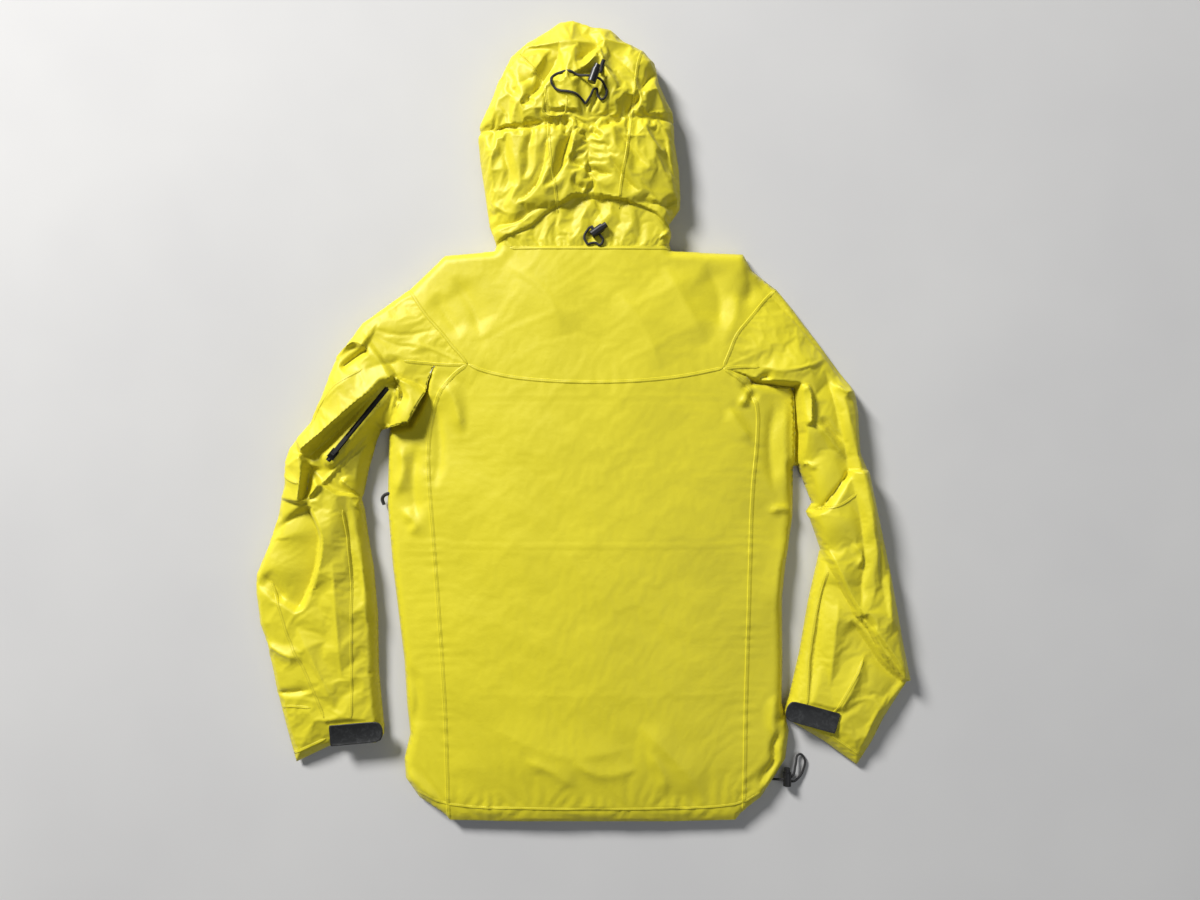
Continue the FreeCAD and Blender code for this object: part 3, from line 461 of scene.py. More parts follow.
ARM_FOLDS = {
    "left": [
        # the ridge over the turned underarm, and the hollow under it
        Fold(((-263, -172), (-290, -190), (-317, -211), (-354, -243), (-394, -276)), 13, 3, 70, 1.5, 0.06),
        Fold(((-268, -181), (-294, -202), (-330, -233), (-390, -284)), -7, 14, 3, 2.0, 0.1),
        Layer(((-266, -177), (-317, -215), (-390, -279), (-386, -296), (-366, -316), (-292, -247),
               (-277, -238)), -7, 8),
        # the pale lobe and the dark slit beside it
        Layer(((-266, -174), (-246, -182), (-222, -194), (-234, -214), (-246, -238), (-278, -246),
               (-262, -205)), 9, 3),
        Fold(((-266, -178), (-254, -197), (-276, -242)), -9, 12, 7, 2.0, 0.08),
        Fold(((-240, -176), (-229, -187), (-222, -203)), -4, 5, 6, 2.0, 0.3),
        # sleeve behind the panel's edge
        Layer(((-364, -318), (-318, -270), (-290, -243), (-300, -300), (-312, -336), (-346, -330)), -7, 3),
        # elbow: the mouth of the fold and the turned facet
        Fold(((-394, -276), (-386, -288), (-390, -316), (-394, -345)), 11, 4, 46, 2.0, 0.08),
        Fold(((-384, -292), (-386, -316), (-389, -340)), -12, 18, 3, 2.0, 0.1),
        Fold(((-366, -316), (-376, -330), (-391, -342)), 7, 5, 12, 2.0, 0.1),
        Fold(((-423, -302), (-408, -312), (-390, -317)), 2.2, 8, 8),
        Fold(((-392, -345), (-371, -382), (-376, -420), (-385, -455), (-404, -492)), -12, 7, 52, 2.0, 0.08),
        Fold(((-380, -350), (-360, -384), (-366, -430), (-380, -468)), 6, 30, 8, 1.4),
        Fold(((-341, -310), (-328, -322), (-315, -335), (-322, -352)), 7, 9, 6, 2.0, 0.12),
        Fold(((-336, -322), (-331, -380), (-325, -440), (-328, -500)), -6, 22, 18),
        Fold(((-316, -380), (-310, -440), (-306, -520)), 4, 14, 12),
        # folds at the top of the sleeve
        Fold(((-352, -151), (-336, -136), (-320, -127), (-303, -136)), 9, 26, 6, 2.0, 0.12),
        Fold(((-303, -137), (-322, -148), (-341, -162)), -9, 9, 5, 2.0, 0.12),
        Fold(((-304, -112), (-270, -132), (-232, -134)), -4, 16, 20),
        Fold(((-310, -166), (-280, -158), (-252, -150)), -4, 12, 14),
        Fold(((-386, -232), (-356, -200), (-312, -164)), 4, 20, 16),
        # forearm
        Fold(((-452, -440), (-430, -456), (-418, -480)), -6, 12, 14),
        Fold(((-448, -530), (-420, -548), (-392, -552)), 5, 12, 14),
        Fold(((-432, -602), (-408, -600), (-383, -596)), -5, 8, 7, 2.0),
        Fold(((-400, -510), (-376, -560), (-350, -620)), 4, 16, 14),
        Fold(((-350, -420), (-346, -500), (-340, -580)), 5, 18, 16),
        Fold(((-440, -404), (-430, -380), (-424, -350)), -4, 10, 10),
    ],
    "right": [
        Fold(((352, -190), (338, -196), (322, -182)), 7, 8, 6, 2.0),
        Fold(((311, -164), (323, -206), (336, -262), (348, -320), (361, -380), (362, -440), (356, -492)),
             -9, 12, 44, 2.0, 0.12),
        Fold(((330, -170), (340, -230), (358, -300), (376, -390), (384, -470)), 6, 30, 20, 1.4),
        Fold(((384, -350), (384, -420), (394, -500)), -5, 16, 16),
        # armpit
        Fold(((217, -182), (228, -172), (240, -176)), -9, 8, 8, 2.0),
        Fold(((220, -158), (250, -168), (286, -160), (312, -150)), 5, 22, 14),
        Fold(((281, -184), (289, -195), (290, -216), (288, -240)), 9, 4, 12, 2.0, 0.1),
        Fold(((276, -230), (282, -270), (297, -347)), -6, 12, 8),
        Fold(((294, -232), (312, -252), (328, -272), (340, -286)), 5, 7, 8, 2.0),
        Fold(((300, -226), (318, -244), (336, -262)), -4, 6, 6),
        Fold(((279, -291), (290, -290), (297, -300)), 5, 6, 6, 2.0),
        # the upper sleeve lapping over the forearm at the elbow
        Fold(((290, -356), (300, -353), (314, -346), (334, -318), (346, -300)), -9, 6, 5, 2.0, 0.1),
        Layer(((292, -364), (309, -408), (330, -450), (351, -492), (372, -516), (386, -544), (417, -581),
               (436, -590), (460, -560), (420, -380), (380, -300), (346, -300), (312, -347)), 9, 2.5),
        Fold(((312, -400), (345, -470), (376, -512), (424, -580)), 5, 26, 3, 2.0, 0.12),
        Fold(((346, -396), (360, -412), (352, -432)), 5, 9, 9),
        Fold(((356, -492), (366, -500), (376, -515)), -6, 6, 8),
        Fold(((400, -430), (396, -480), (402, -520)), 4, 12, 12),
        # forearm
        Fold(((345, -500), (366, -530), (390, -565), (424, -592)), -7, 5, 30, 2.0, 0.15),
        Fold(((366, -544), (350, -590), (322, -636)), 5, 12, 16),
        Fold(((318, -431), (306, -480), (298, -550), (291, -615)), -5, 12, 8),
        Fold(((330, -470), (322, -540), (318, -590)), 5, 12, 12),
        Fold(((400, -600), (380, -630), (360, -680)), 4, 14, 14),
    ],
}

# ---------------------------------------------------------------- heights

# the level at which the upper and lower layers meet, and how far in from there the cloth's edge is round
RIM = 7.0
TORSO_ROUND, ARM_ROUND, HOOD_ROUND = 15, 12, 14
# over this distance the slow rise and fall comes in
SWELL_IN = 30
# between a layer and the one under it
LAYER_GAP = 1.2
# how far from an armhole seam the torso and a sleeve share their height, and how far it stops their folds
SEAM_BLEND, SEAM_QUIET = 34, 15
# each zip's (start, direction, length) in plan
ZIPS = {
    "main": (np.array([0, 44]), np.array([0, -1.0]), 808),
    "pocket_left": (np.array([-158, -330]), np.array([0, -1.0]), 180),
    "pocket_right": (np.array([158, -330]), np.array([0, -1.0]), 180),
    "pit_left": (np.array([-353.8, -284.4]), np.array([0.632, 0.775]), 120),
    "pit_right": (np.array([315.1, -335.4]), np.array([-0.2756, 0.9613]), 120),
}
# the coils on the front, the cloth around them, and the cloth around the left sleeve's zip, which faces up
CHAIN_LEVEL, ZIP_CLOTH_LEVEL, PIT_LEFT_LEVEL = 7.5, 6.8, 39.0
# half the width of the slot in the cloth over a zip, and how far it goes on past each end
SLOT_HALF, SLOT_OVER_END = 3.4, 3


def zip_line(name):
    """Both ends of a zip in plan."""
    start, way, length = ZIPS[name]
    return np.array([start, start + way * length])


def opening(name):
    """The slot left in the cloth for a zip."""
    (a, b), way = zip_line(name), ZIPS[name][1]
    side, over_end = square_to(way) * SLOT_HALF, way * SLOT_OVER_END
    return np.array([a - over_end + side, a - over_end - side, b + over_end - side, b + over_end + side])


def near_zip(where, names, reach):
    """1 on any of the zips, fading to nothing beyond its reach."""
    return np.max([near(where, zip_line(name), reach) for name in names], axis=0)


def down_arm(where, side):
    """How far from the shoulder, along the upper sleeve's direction."""
    return (where - SHOULDER[side]) @ ARM_WAY[side]


TORSO_HALF_WIDTH, TORSO_EDGE_LEVEL = 271, 19


def torso_crown(where):
    """The torso's level before its folds: highest along its middle."""
    x, y = where[:, 0], where[:, 1]
    crown = table(y, [(0, 37), (-50, 39), (-200, 44), (-400, 47), (-600, 42), (-700, 36), (-777, 24)])
    share = np.clip(1 - (x / TORSO_HALF_WIDTH) ** 2, 0, 1)
    return towards(TORSO_EDGE_LEVEL, crown, share)


def arm_crown(where, side, gap):
    """A sleeve's level before its folds, from the gap to its outline."""
    s = down_arm(where, side)
    crown = table(s, [(-100, 36), (60, 40), (230, 38), (310, 33), (470, 27), (545, 21)])
    edge = table(s, [(200, 15), (480, 12), (545, 9)])
    return towards(edge, crown, bulge(gap / 48))


def at_armpits(where, reach):
    """1 on either armpit line, fading to nothing beyond its reach."""
    return np.maximum(*[near(where, path, reach) for path in ARMPIT.values()])


def lifted(where, height, folds, share=1.0):
    """Heights with a share of some folds added."""
    for fold in folds:
        height = height + share * fold.lift(where)
    return height


# creases that cross an armhole seam, on the torso and on the sleeve alike
SHARED_FOLDS = [
    Fold(((212, -28), (240, -60), (272, -96), (318, -150), (349, -190)), -11, 13, 48, 2.0, 0.15),
    Fold(((-300, -108), (-262, -120), (-222, -112)), -3, 16, 20),
    Fold(((-216, -60), (-196, -96), (-176, -120)), -4, 22, 20),
    Fold(((196, -60), (190, -96), (172, -130)), 3, 18, 20),
]


def swell(where):
    """The slow rise and fall that all the cloth has."""
    return drift(where, size=140, seed=11) + 0.3 * drift(where, size=52, seed=12)


# the torso's folded edge where it lies over the right sleeve, and how far out it starts
FREE_EDGE_LEVEL, FREE_EDGE_FROM = 21, 190


def torso_top(where):
    """The torso's upper layer."""
    gap = np.clip(depth(where, BODY_OUTLINE), 0, None)
    arm = np.where(where[:, 0] < 0, arm_crown(where, "left", gap), arm_crown(where, "right", gap))
    own = towards(torso_crown(where), arm, 0.5 * at_armpits(where, SEAM_BLEND))
    # the hem stands open between its corners
    rim = RIM + 10 * smooth((where[:, 1] + 765) / -12) * smooth((225 - np.abs(where[:, 0])) / 30)
    height = towards(rim, own, bulge(gap / TORSO_ROUND))
    free = 1 - at_armpits(where, SEAM_QUIET)
    height = lifted(where, lifted(where, height, SHARED_FOLDS), TORSO_FOLDS, free)
    # under the sleeve's lobe on the left, and the free folded edge over the sleeve on the right
    lobe = ((-222, -170), (-228, -200), (-236, -216), (-250, -240), (-300, -250), (-300, -160))
    height = height + Layer(lobe, -16, 10).lift(where)
    edge = np.abs(nearest(where, points((214, -180), (271, -188), (273, -245), (272, -361)))[0])
    rolled = towards(FREE_EDGE_LEVEL, height, bulge(edge / 16))
    height = np.where(where[:, 0] > FREE_EDGE_FROM, np.minimum(height, rolled), height)
    for side, seed in (("left", 3), ("right", 4)):
        height = height + pucker(where, SIDE[side], height=0.9, wave=15, reach=5, seed=seed)
    hem = points((-236, -742), (-190, -752), (190, -752), (226, -742))
    height = height + pucker(where, hem, height=2.0, wave=17, reach=12, seed=5)
    height = height + pucker(where, YOKE, height=0.35, wave=24, reach=5, seed=6)
    return height + swell(where) * smooth(gap / SWELL_IN)


# the part of the right sleeve that lies beneath the torso, and its level there
UNDER_TORSO = points(
    (194, -172), (222, -180), (274, -185), (282, -250), (280, -314), (200, -314), (180, -200),
)
UNDER_TORSO_LEVEL, LEAST_ARM_LEVEL = 9, 4
# the most that the sleeve rises at its cuff, and well before it, and how far down the arm the cuff starts
CUFF_LEVEL, CLEAR_OF_CUFF_LEVEL, CUFF_FROM = 24.2, 70, 470


def arm_top(side):
    """A function for the height of a sleeve's upper layer."""

    def height(where):
        gap = np.clip(depth(where, BODY_OUTLINE), 0, None)
        share = 0.5 * near(where, ARMPIT[side], SEAM_BLEND)
        own = towards(arm_crown(where, side, gap), torso_crown(where), share)
        out = towards(RIM, own, bulge(gap / ARM_ROUND))
        free = 1 - near(where, ARMPIT[side], SEAM_QUIET)
        out = lifted(where, lifted(where, out, SHARED_FOLDS), ARM_FOLDS[side], free)
        if side == "left":
            # flat beside the zip
            lane = np.exp(-((nearest(where, zip_line("pit_left"))[0] / 11) ** 4))
            out = towards(out, PIT_LEFT_LEVEL + 0.3, lane)
        else:
            out = towards(out, UNDER_TORSO_LEVEL, smooth(depth(where, UNDER_TORSO) / 10 + 0.4))
        # the cuff is pressed flat below its strap
        cuff = smooth((down_arm(where, side) - CUFF_FROM) / 40)
        out = np.minimum(out, towards(CLEAR_OF_CUFF_LEVEL, CUFF_LEVEL, cuff))
        return np.maximum(out + swell(where) * smooth(gap / SWELL_IN), LEAST_ARM_LEVEL)

    return height


HOOD_EDGE_LEVEL = 20


def hood_top(where):
    """The hood and the collar: the hood rolls over the neck panel along the neck line."""
    x, y = where[:, 0], where[:, 1]
    gap = np.clip(depth(where, HOOD_OUTLINE), 0, None)
    crown = table(y, [(0, 36), (46, 37), (60, 43), (100, 56), (140, 64), (180, 67), (214, 65), (250, 58),
                      (310, 44)])
    hood = towards(HOOD_EDGE_LEVEL, crown, bulge(gap / 88))
    hood = towards(RIM + 3, hood, bulge(gap / HOOD_ROUND))
    hood = lifted(where, hood, HOOD_FOLDS, share=0.72)
    hood = hood + pucker(where, points((-6, 150), (-4, 60)), height=2.2, wave=11, reach=9, seed=31)
    crown_cord = points((-150, 160), (-100, 157), (-36, 160), (-12, 176), (16, 168), (56, 166), (108, 172))
    hood = hood + pucker(where, crown_cord, height=2.0, wave=13, reach=9, seed=32)
    hood = hood + drift(where, size=52, seed=33) + 0.5 * drift(where, size=22, seed=34)
    # the neck panel, lying under the hood's rolled edge
    neck = torso_crown(np.column_stack([x, np.minimum(y, 0)]))
    neck = neck + 0.5 * drift(where, size=40, seed=35) * smooth(y / 12)
    neck = towards(RIM, neck, bulge(gap / HOOD_ROUND))
    above = depth(where, np.vstack([NECK, points((140, 20), (140, 330), (-180, 330), (-180, 4))]))
    hood = np.maximum(hood, neck + 3.5 * bulge(np.clip(above, 0, None) / 6) - np.clip(above - 12, 0, None))
    return towards(neck, hood, smooth(above / 3 + 0.5))


# ---------------------------------------------------------------- cloth meshes


class Sheet:
    """A cloth surface: points in plan and in space, and triangles, seen from its outer side."""

    def __init__(self, loop, step, height, lines=(), holes=(), edge_step=None, down=False):
        self.flat, self.faces = lattice(loop, step, lines, holes, edge_step)
        self.at = np.column_stack([self.flat, height(self.flat)])
        self.gather = None
        if down:
            self.faces = self.faces[:, ::-1]

    def normals(self):
        a, b, c = (self.at[self.faces[:, k]] for k in range(3))
        face = np.cross(b - a, c - a)
        out = np.zeros_like(self.at)
        for k in range(3):
            np.add.at(out, self.faces[:, k], face)
        return out


# how far a point stands above both its neighbours before it counts as a peak
LEAST_PEAK = 0.7


def even_rim(upper, lower):
    """Takes single peaks out of the outline that two sheets share, where the coarser one would show."""
    count = min(len(upper.flat), len(lower.flat))
    shared = np.abs(upper.flat[:count] - lower.flat[:count]).max(1) < 1e-6
    rim = np.flatnonzero(shared[:-2] & shared[1:-1] & shared[2:]) + 1
    level = (upper.at[rim - 1, 2] + upper.at[rim + 1, 2]) / 2
    peak = upper.at[rim, 2] > level + LEAST_PEAK
    for sheet in (upper, lower):
        sheet.at[rim[peak], 2] = level[peak]


def weigh(obj, name, weights):
    """A vertex group with these weights, the faintest left out."""
    group = obj.vertex_groups.new(name=name)
    for k in np.flatnonzero(weights > 0.02):
        group.add([int(k)], float(weights[k]), "REPLACE")


def relax(sheets, frames=14):
    """Lets cloth grow a little and settle with its border pinned, and draws it in along its gathers. Each
    sheet comes with its growth, how firmly it is held in place, and its stretch and bend stiffness."""
    scene, made = bpy.context.scene, []
    for sheet, growth, hold, stiff, bend in sheets:
        mesh = bpy.data.meshes.new("settling")
        mesh.from_pydata((sheet.at / 1000).tolist(), [], sheet.faces.tolist())
        obj = add_object("settling", mesh)
        edges = np.vstack([sheet.faces[:, [0, 1]], sheet.faces[:, [1, 2]], sheet.faces[:, [2, 0]]])
        keys, counts = np.unique(np.sort(edges, axis=1), axis=0, return_counts=True)
        weight = np.full(len(sheet.at), hold)
        weight[np.unique(keys[counts == 1])] = 1.0
        weigh(obj, "hold", weight)
        cloth = obj.modifiers.new("settle", "CLOTH").settings
        cloth.quality, cloth.mass, cloth.air_damping = 5, 0.3, 1.0
        cloth.tension_stiffness = cloth.compression_stiffness = stiff
        cloth.shear_stiffness, cloth.bending_stiffness = stiff * 0.5, bend
        cloth.tension_damping = cloth.compression_damping = cloth.shear_damping = 8
        cloth.bending_damping = 1.0
        cloth.vertex_group_mass, cloth.pin_stiffness = "hold", 1.0
        cloth.shrink_min = -growth
        if sheet.gather is not None:
            weigh(obj, "gather", sheet.gather)
            cloth.vertex_group_shrink, cloth.shrink_max = "gather", 0.12
        cloth.effector_weights.gravity = 0
        made.append((sheet, obj))
    scene.frame_start, scene.frame_end = 1, frames
    for number in range(1, frames + 1):
        scene.frame_set(number)
    graph = bpy.context.evaluated_depsgraph_get()
    for sheet, obj in made:
        settled = obj.evaluated_get(graph).data
        at = np.empty(len(settled.vertices) * 3)
        settled.vertices.foreach_get("co", at)
        sheet.at = at.reshape(-1, 3) * 1000
    for _, obj in made:
        mesh = obj.data
        bpy.data.objects.remove(obj)
        bpy.data.meshes.remove(mesh)
    scene.frame_set(1)


# above everything, where a look down starts
SKY = 200


def level_at(tree, x, y):
    """The height of a surface at a place in plan, seen from above, or None beside it."""
    hit = tree.ray_cast(Vector((x, y, SKY)), Vector((0, 0, -1)))[0]
    return None if hit is None else hit.z


def press_below(lower, upper, still, gap=LAYER_GAP, least=-50.0, spread=4.0):
    """Keeps a sheet under another wherever they overlap, except along the lines that they share.

    The upper sheet's lowest level close by counts, so that a coarse lower sheet clears its valleys.
    """
    tree = surface_tree([upper])
    away = np.min([np.abs(nearest(lower.flat, path)[0]) for path in still], axis=0)
    fade = smooth(away / 1.5)
    around = [(math.cos(a), math.sin(a)) for a in np.linspace(0, math.tau, 8, endpoint=False)]
    for k in np.flatnonzero(fade > 0):
        x, y, z = lower.at[k]
        if level_at(tree, x, y) is None:
            continue
        reach = min(spread, away[k])
        levels = [level_at(tree, x, y)] + [level_at(tree, x + reach * a, y + reach * b) for a, b in around]
        roof = min(level for level in levels if level is not None)
        if z > roof - gap * fade[k]:
            lower.at[k, 2] = towards(z, max(roof - gap, min(z, least)), fade[k])


def keep_above(upper, lower, outline):
    """Raises the upper sheet wherever it still dips through the lower one close to their shared outline."""
    tree = surface_tree([lower])
    clear = 0.6 * smooth(np.abs(nearest(upper.flat, closed(outline))[0]) / 1.5)
    for k in np.flatnonzero(clear > 0):
        x, y, z = upper.at[k]
        level = level_at(tree, x, y)
        if level is not None:
            upper.at[k, 2] = max(z, level + clear[k])


def joined_normals(sheets):
    """Vertex normals, shared where sheets meet."""
    at = np.vstack([sheet.at for sheet in sheets])
    total = np.vstack([sheet.normals() for sheet in sheets])
    _, index = np.unique(np.round(at, 2), axis=0, return_inverse=True)
    index = index.ravel()
    summed = np.zeros((index.max() + 1, 3))
    np.add.at(summed, index, total)
    out = summed[index]
    out /= np.maximum(np.linalg.norm(out, axis=1), 1e-9)[:, None]
    for sheet in sheets:
        sheet.normal, out = out[: len(sheet.at)], out[len(sheet.at) :]


def to_metres(at):
    """From millimetres above the floor to metres in the CAD frame."""
    out = np.array(at, float) / 1000
    out[:, 2] += FLOOR / 1000
    return out


def add_object(name, data):
    obj = bpy.data.objects.new(name, data)
    bpy.context.scene.collection.objects.link(obj)
    return obj


def mesh_object(name, at, faces, materials, kinds=None, normals=None, uv=None):
    mesh = bpy.data.meshes.new(name)
    mesh.from_pydata(to_metres(at).tolist(), [], [list(map(int, f)) for f in faces])
    for material in materials:
        mesh.materials.append(material)
    if kinds is not None:
        mesh.polygons.foreach_set("material_index", np.asarray(kinds, np.int32))
    mesh.polygons.foreach_set("use_smooth", np.ones(len(faces), bool))
    if uv is not None:
        layer = mesh.uv_layers.new(name="UVMap")
        loops = np.concatenate([np.asarray(f) for f in faces])
        layer.data.foreach_set("uv", (np.asarray(uv)[loops] / 1000).ravel())
    if normals is not None:
        mesh.normals_split_custom_set([tuple(n) for n in normals])
    return add_object(name, mesh)


# the hem and the cuffs, where the cloth's cut edge shows
CUT_EDGES = [
    between(TORSO, (228, -748), (-239, -748)), between(ARM_LEFT, (-408, -699), (-288, -661)),
    between(ARM_RIGHT, (257, -636), (360, -703)),
]


def thick(name, sheet, keep, materials, thickness=0.7):
    """A panel cut from a sheet and given its thickness: outer face, lining, and cut edge."""
    faces = sheet.faces[keep]
    used, index = np.unique(faces, return_inverse=True)
    outer = index.reshape(-1, 3)
    n = len(used)
    at, normal = sheet.at[used], sheet.normal[used]
    inner = outer[:, ::-1] + n
    pairs = {tuple(pair) for ends in ([0, 1], [1, 2], [2, 0]) for pair in outer[:, ends].tolist()}
    rim = sorted((a, b) for a, b in pairs if (b, a) not in pairs)
    sides = [(a, a + n, b + n, b) for a, b in rim]
    every = [*outer, *inner, *sides]
    starts = at[[a for a, _ in rim], :2]
    raw = np.min([np.abs(nearest(starts, path)[0]) for path in CUT_EDGES], axis=0) < 2
    kinds = [0] * len(outer) + [1] * len(inner) + [2 if cut else 0 for cut in raw]
    where = np.vstack([at, at - normal * thickness])
    loops = [normal[k] for f in outer for k in f] + [-normal[k - n] for f in inner for k in f]
    for a, _, _, b in sides:
        out = np.cross(where[b] - where[a], normal[a])
        out /= max(np.linalg.norm(out), 1e-9)
        loops += [out] * 4
    return mesh_object(name, where, every, materials, kinds, loops)


def surface_tree(sheets):
    at, faces, count = [], [], 0
    for sheet in sheets:
        at.append(sheet.at)
        faces.append(sheet.faces + count)
        count += len(sheet.at)
    return BVHTree.FromPolygons(np.vstack(at).tolist(), np.vstack(faces).tolist())


def laid(tree, flat):
    """Drops plan points on to a surface: where they land and which way it faces."""
    at, facing = [], []
    last = 20.0
    for x, y in flat:
        hit, normal, _, _ = tree.ray_cast(Vector((x, y, SKY)), Vector((0, 0, -1)))
        if hit is None:
            hit, normal, _, _ = tree.find_nearest(Vector((x, y, last)))
        last = hit.z
        at.append(tuple(hit))
        facing.append(tuple(normal * (1 if normal.z > 0 else -1)))
    return np.array(at), np.array(facing)


# a seam's cross-section: how far across it, and how proud, as shares of its width and thickness
SEAM_ACROSS = (-0.5, -0.38, -0.12, 0.12, 0.38, 0.5)
SEAM_RISE = (0.05, 0.9, 0.75, 0.55, 0.45, 0.0)


def ring_faces(count, around, turned=False):
    """Quads that join closed rings of points, listed one after another, and a cap at each end."""
    faces = [tuple(reversed(range(around))), tuple(range((count - 1) * around, count * around))]
    for r in range(count - 1):
        for k in range(around):
            a, b = r * around + k, r * around + (k + 1) % around
            faces.append((a, b, b + around, a + around))
    return [face[::-1] for face in faces] if turned else faces


def ribbon(name, path, tree, width, materials, thickness=0.8, sunk=0.5, step=3.0):
    """A narrow strip of cloth sewn along a line on the garment, a little proud of it, with tapering ends."""
    path = resample(rounded(path, 2), step)
    way = np.gradient(path, axis=0)
    way /= np.linalg.norm(way, axis=1)[:, None]
    side = np.column_stack([-way[:, 1], way[:, 0]])
    along = np.concatenate([[0], np.cumsum(np.linalg.norm(np.diff(path, axis=0), axis=1))])
    taper = (0.15 + 0.85 * smooth(np.minimum(along, along[-1] - along) / 6))[:, None]
    upper, lower, uv = [], [], []
    for off, up in zip(np.array(SEAM_ACROSS) * width, np.array(SEAM_RISE) * thickness):
        at, facing = laid(tree, path + side * off * taper)
        upper.append(at + facing * up * taper)
        lower.append(at - facing * sunk)
        uv.append(np.column_stack([along, np.full(len(along), off)]))
    rings = np.stack(upper + lower[::-1], axis=1)
    at, uv = rings.reshape(-1, 3), np.stack(uv + uv[::-1], axis=1).reshape(-1, 2)
    return mesh_object(name, at, ring_faces(*rings.shape[:2]), materials, uv=uv)


# ---------------------------------------------------------------- materials


class Shader:
    """A node material built step by step."""

    def __init__(self, name, colour, roughness, metallic=0.0, sheen=0.0):
        self.material = bpy.data.materials.new(name)
        self.material.use_nodes = True
        self.tree = self.material.node_tree
        self.shade = self.tree.nodes["Principled BSDF"]
        self.material.diffuse_color = (*colour, 1)
        self.feed(self.shade, {"Base Color": colour, "Roughness": roughness, "Metallic": metallic})
        self.feed(self.shade, {"Sheen Weight": sheen, "Sheen Roughness": 0.5})
        self.place = self.node("ShaderNodeTexCoord", {}).outputs["Object"]
        self.last_bump = None

    def feed(self, node, sockets):
        """Sets a node's sockets from numbers, colours or other nodes' outputs."""
        for key, value in sockets.items():
            if isinstance(value, (int, float)):
                node.inputs[key].default_value = value
            elif isinstance(value, tuple):
                node.inputs[key].default_value = (*value, 1)
            else:
                self.tree.links.new(value, node.inputs[key])

    def node(self, kind, sockets, **settings):
        made = self.tree.nodes.new(kind)
        for key, value in settings.items():
            setattr(made, key, value)
        self.feed(made, sockets)
        return made

    def noise(self, scale, detail=3.0, rough=0.55, distortion=0.0):
        sockets = {"Vector": self.place, "Scale": scale, "Detail": detail, "Roughness": rough}
        sockets["Distortion"] = distortion
        return self.node("ShaderNodeTexNoise", sockets).outputs["Fac"]

    def wave(self, period, axis, distortion=0.0):
        """Bands with the given period in metres."""
        sockets = {"Vector": self.place, "Scale": math.tau / 20 / period, "Distortion": distortion}
        return self.node("ShaderNodeTexWave", sockets, bands_direction=axis).outputs["Fac"]

    def math(self, kind, a, b=0.5):
        return self.node("ShaderNodeMath", {0: a, 1: b}, operation=kind).outputs[0]

    def weave(self, period):
        return self.math("MULTIPLY", self.wave(period, "X"), self.wave(period, "Y"))

    def ramp(self, source, *stops):
        made = self.node("ShaderNodeValToRGB", {"Fac": source})
        ramp = made.color_ramp
        while len(ramp.elements) < len(stops):
            ramp.elements.new(0.5)
        for element, (at, colour) in zip(ramp.elements, stops):
            element.position, element.color = at, (*colour, 1)
        return made.outputs["Color"]

    def spots(self, source, start, full):
        """Nothing below one level of the source, rising to 1 at another."""
        return self.ramp(source, (start, (0, 0, 0)), (full, (1, 1, 1)))

    def mix(self, factor, a, b):
        # a mix node has one set of sockets for each kind of data, and those for colour are 6 and 7
        return self.node("ShaderNodeMix", {0: factor, 6: a, 7: b}, data_type="RGBA").outputs[2]

    def base(self, source):
        self.feed(self.shade, {"Base Color": source})

    def bump(self, source, distance, strength=1.0):
        sockets = {"Height": source, "Distance": distance, "Strength": strength}
        if self.last_bump:
            sockets["Normal"] = self.last_bump
        self.last_bump = self.node("ShaderNodeBump", sockets).outputs["Normal"]
        self.feed(self.shade, {"Normal": self.last_bump})


def tint(colour, amount):
    return tuple(min(1, c * amount) for c in colour)


CHARTREUSE = (0.70, 0.62, 0.018)


def face_cloth(name, colour=CHARTREUSE, stitched=False):
    """Light matt nylon: plain weave, fine crumple, faint painted shade in random darker spots; seams add
    rows of stitching.
    """
    s = Shader(name, colour, 0.52, sheen=0.06)
    mottle = s.noise(9, 4, 0.6)
    fine = s.noise(70, 3, 0.6)
    tone = s.ramp(mottle, (0.3, tint(colour, 0.93)), (0.5, colour), (0.72, tint(colour, 1.05)))
    grain = s.ramp(fine, (0.3, tint(colour, 0.94)), (0.7, tint(colour, 1.03)))
    tone = s.mix(0.4, tone, grain)
    # painted shade: random spots darkened towards a dark olive, standing in for ambient occlusion in the
    # crinkles
    painted_shade_spots = s.spots(s.noise(34, 5, 0.75, 1.5), 0.63, 0.75)
    tone = s.mix(s.math("MULTIPLY", painted_shade_spots, 0.10), tone, (0.36, 0.31, 0.03))
    s.bump(s.noise(95, 4, 0.6, 0.8), 0.0005, 0.55)
    s.bump(s.noise(420, 2), 0.00012, 0.5)
    s.bump(s.weave(0.0009), 0.00003, 0.5)
    s.feed(s.shade, {"Roughness": s.math("ADD", s.math("MULTIPLY", fine, 0.16), 0.44)})
    if stitched:
        stitches = stitch_rows(s)
        tone = s.mix(stitches, tone, tint(colour, 0.55))
        s.bump(stitches, 0.0004, -0.8)
    s.base(tone)
    return s.material


def stitch_rows(s):
    """Dashes along both margins of a ribbon, from its UV map: U along the seam, V across it, in metres."""
    split = s.node("ShaderNodeSeparateXYZ", {0: s.node("ShaderNodeUVMap", {}).outputs["UV"]})
    u, v = split.outputs[0], split.outputs[1]
    dash = s.math("LESS_THAN", s.math("FRACT", s.math("MULTIPLY", u, 380.0)), 0.66)
    off = s.math("ABSOLUTE", s.math("SUBTRACT", s.math("ABSOLUTE", v), 0.0012))
    row = s.math("LESS_THAN", off, 0.00032)
    return s.math("MULTIPLY", dash, row)


def lining_cloth():
    """The pale laminate inside, with its fine printed mesh."""
    s = Shader("lining", (0.55, 0.56, 0.50), 0.7)
    s.base(s.mix(s.weave(0.0022), (0.50, 0.51, 0.45), (0.60, 0.61, 0.55)))
    s.bump(s.noise(120, 3), 0.0004, 0.4)
    return s.material


def cut_edge():
    s = Shader("cut_edge", (0.74, 0.70, 0.30), 0.7)
    s.base(s.ramp(s.noise(300), (0.3, (0.66, 0.62, 0.22)), (0.7, (0.80, 0.77, 0.40))))
    return s.material


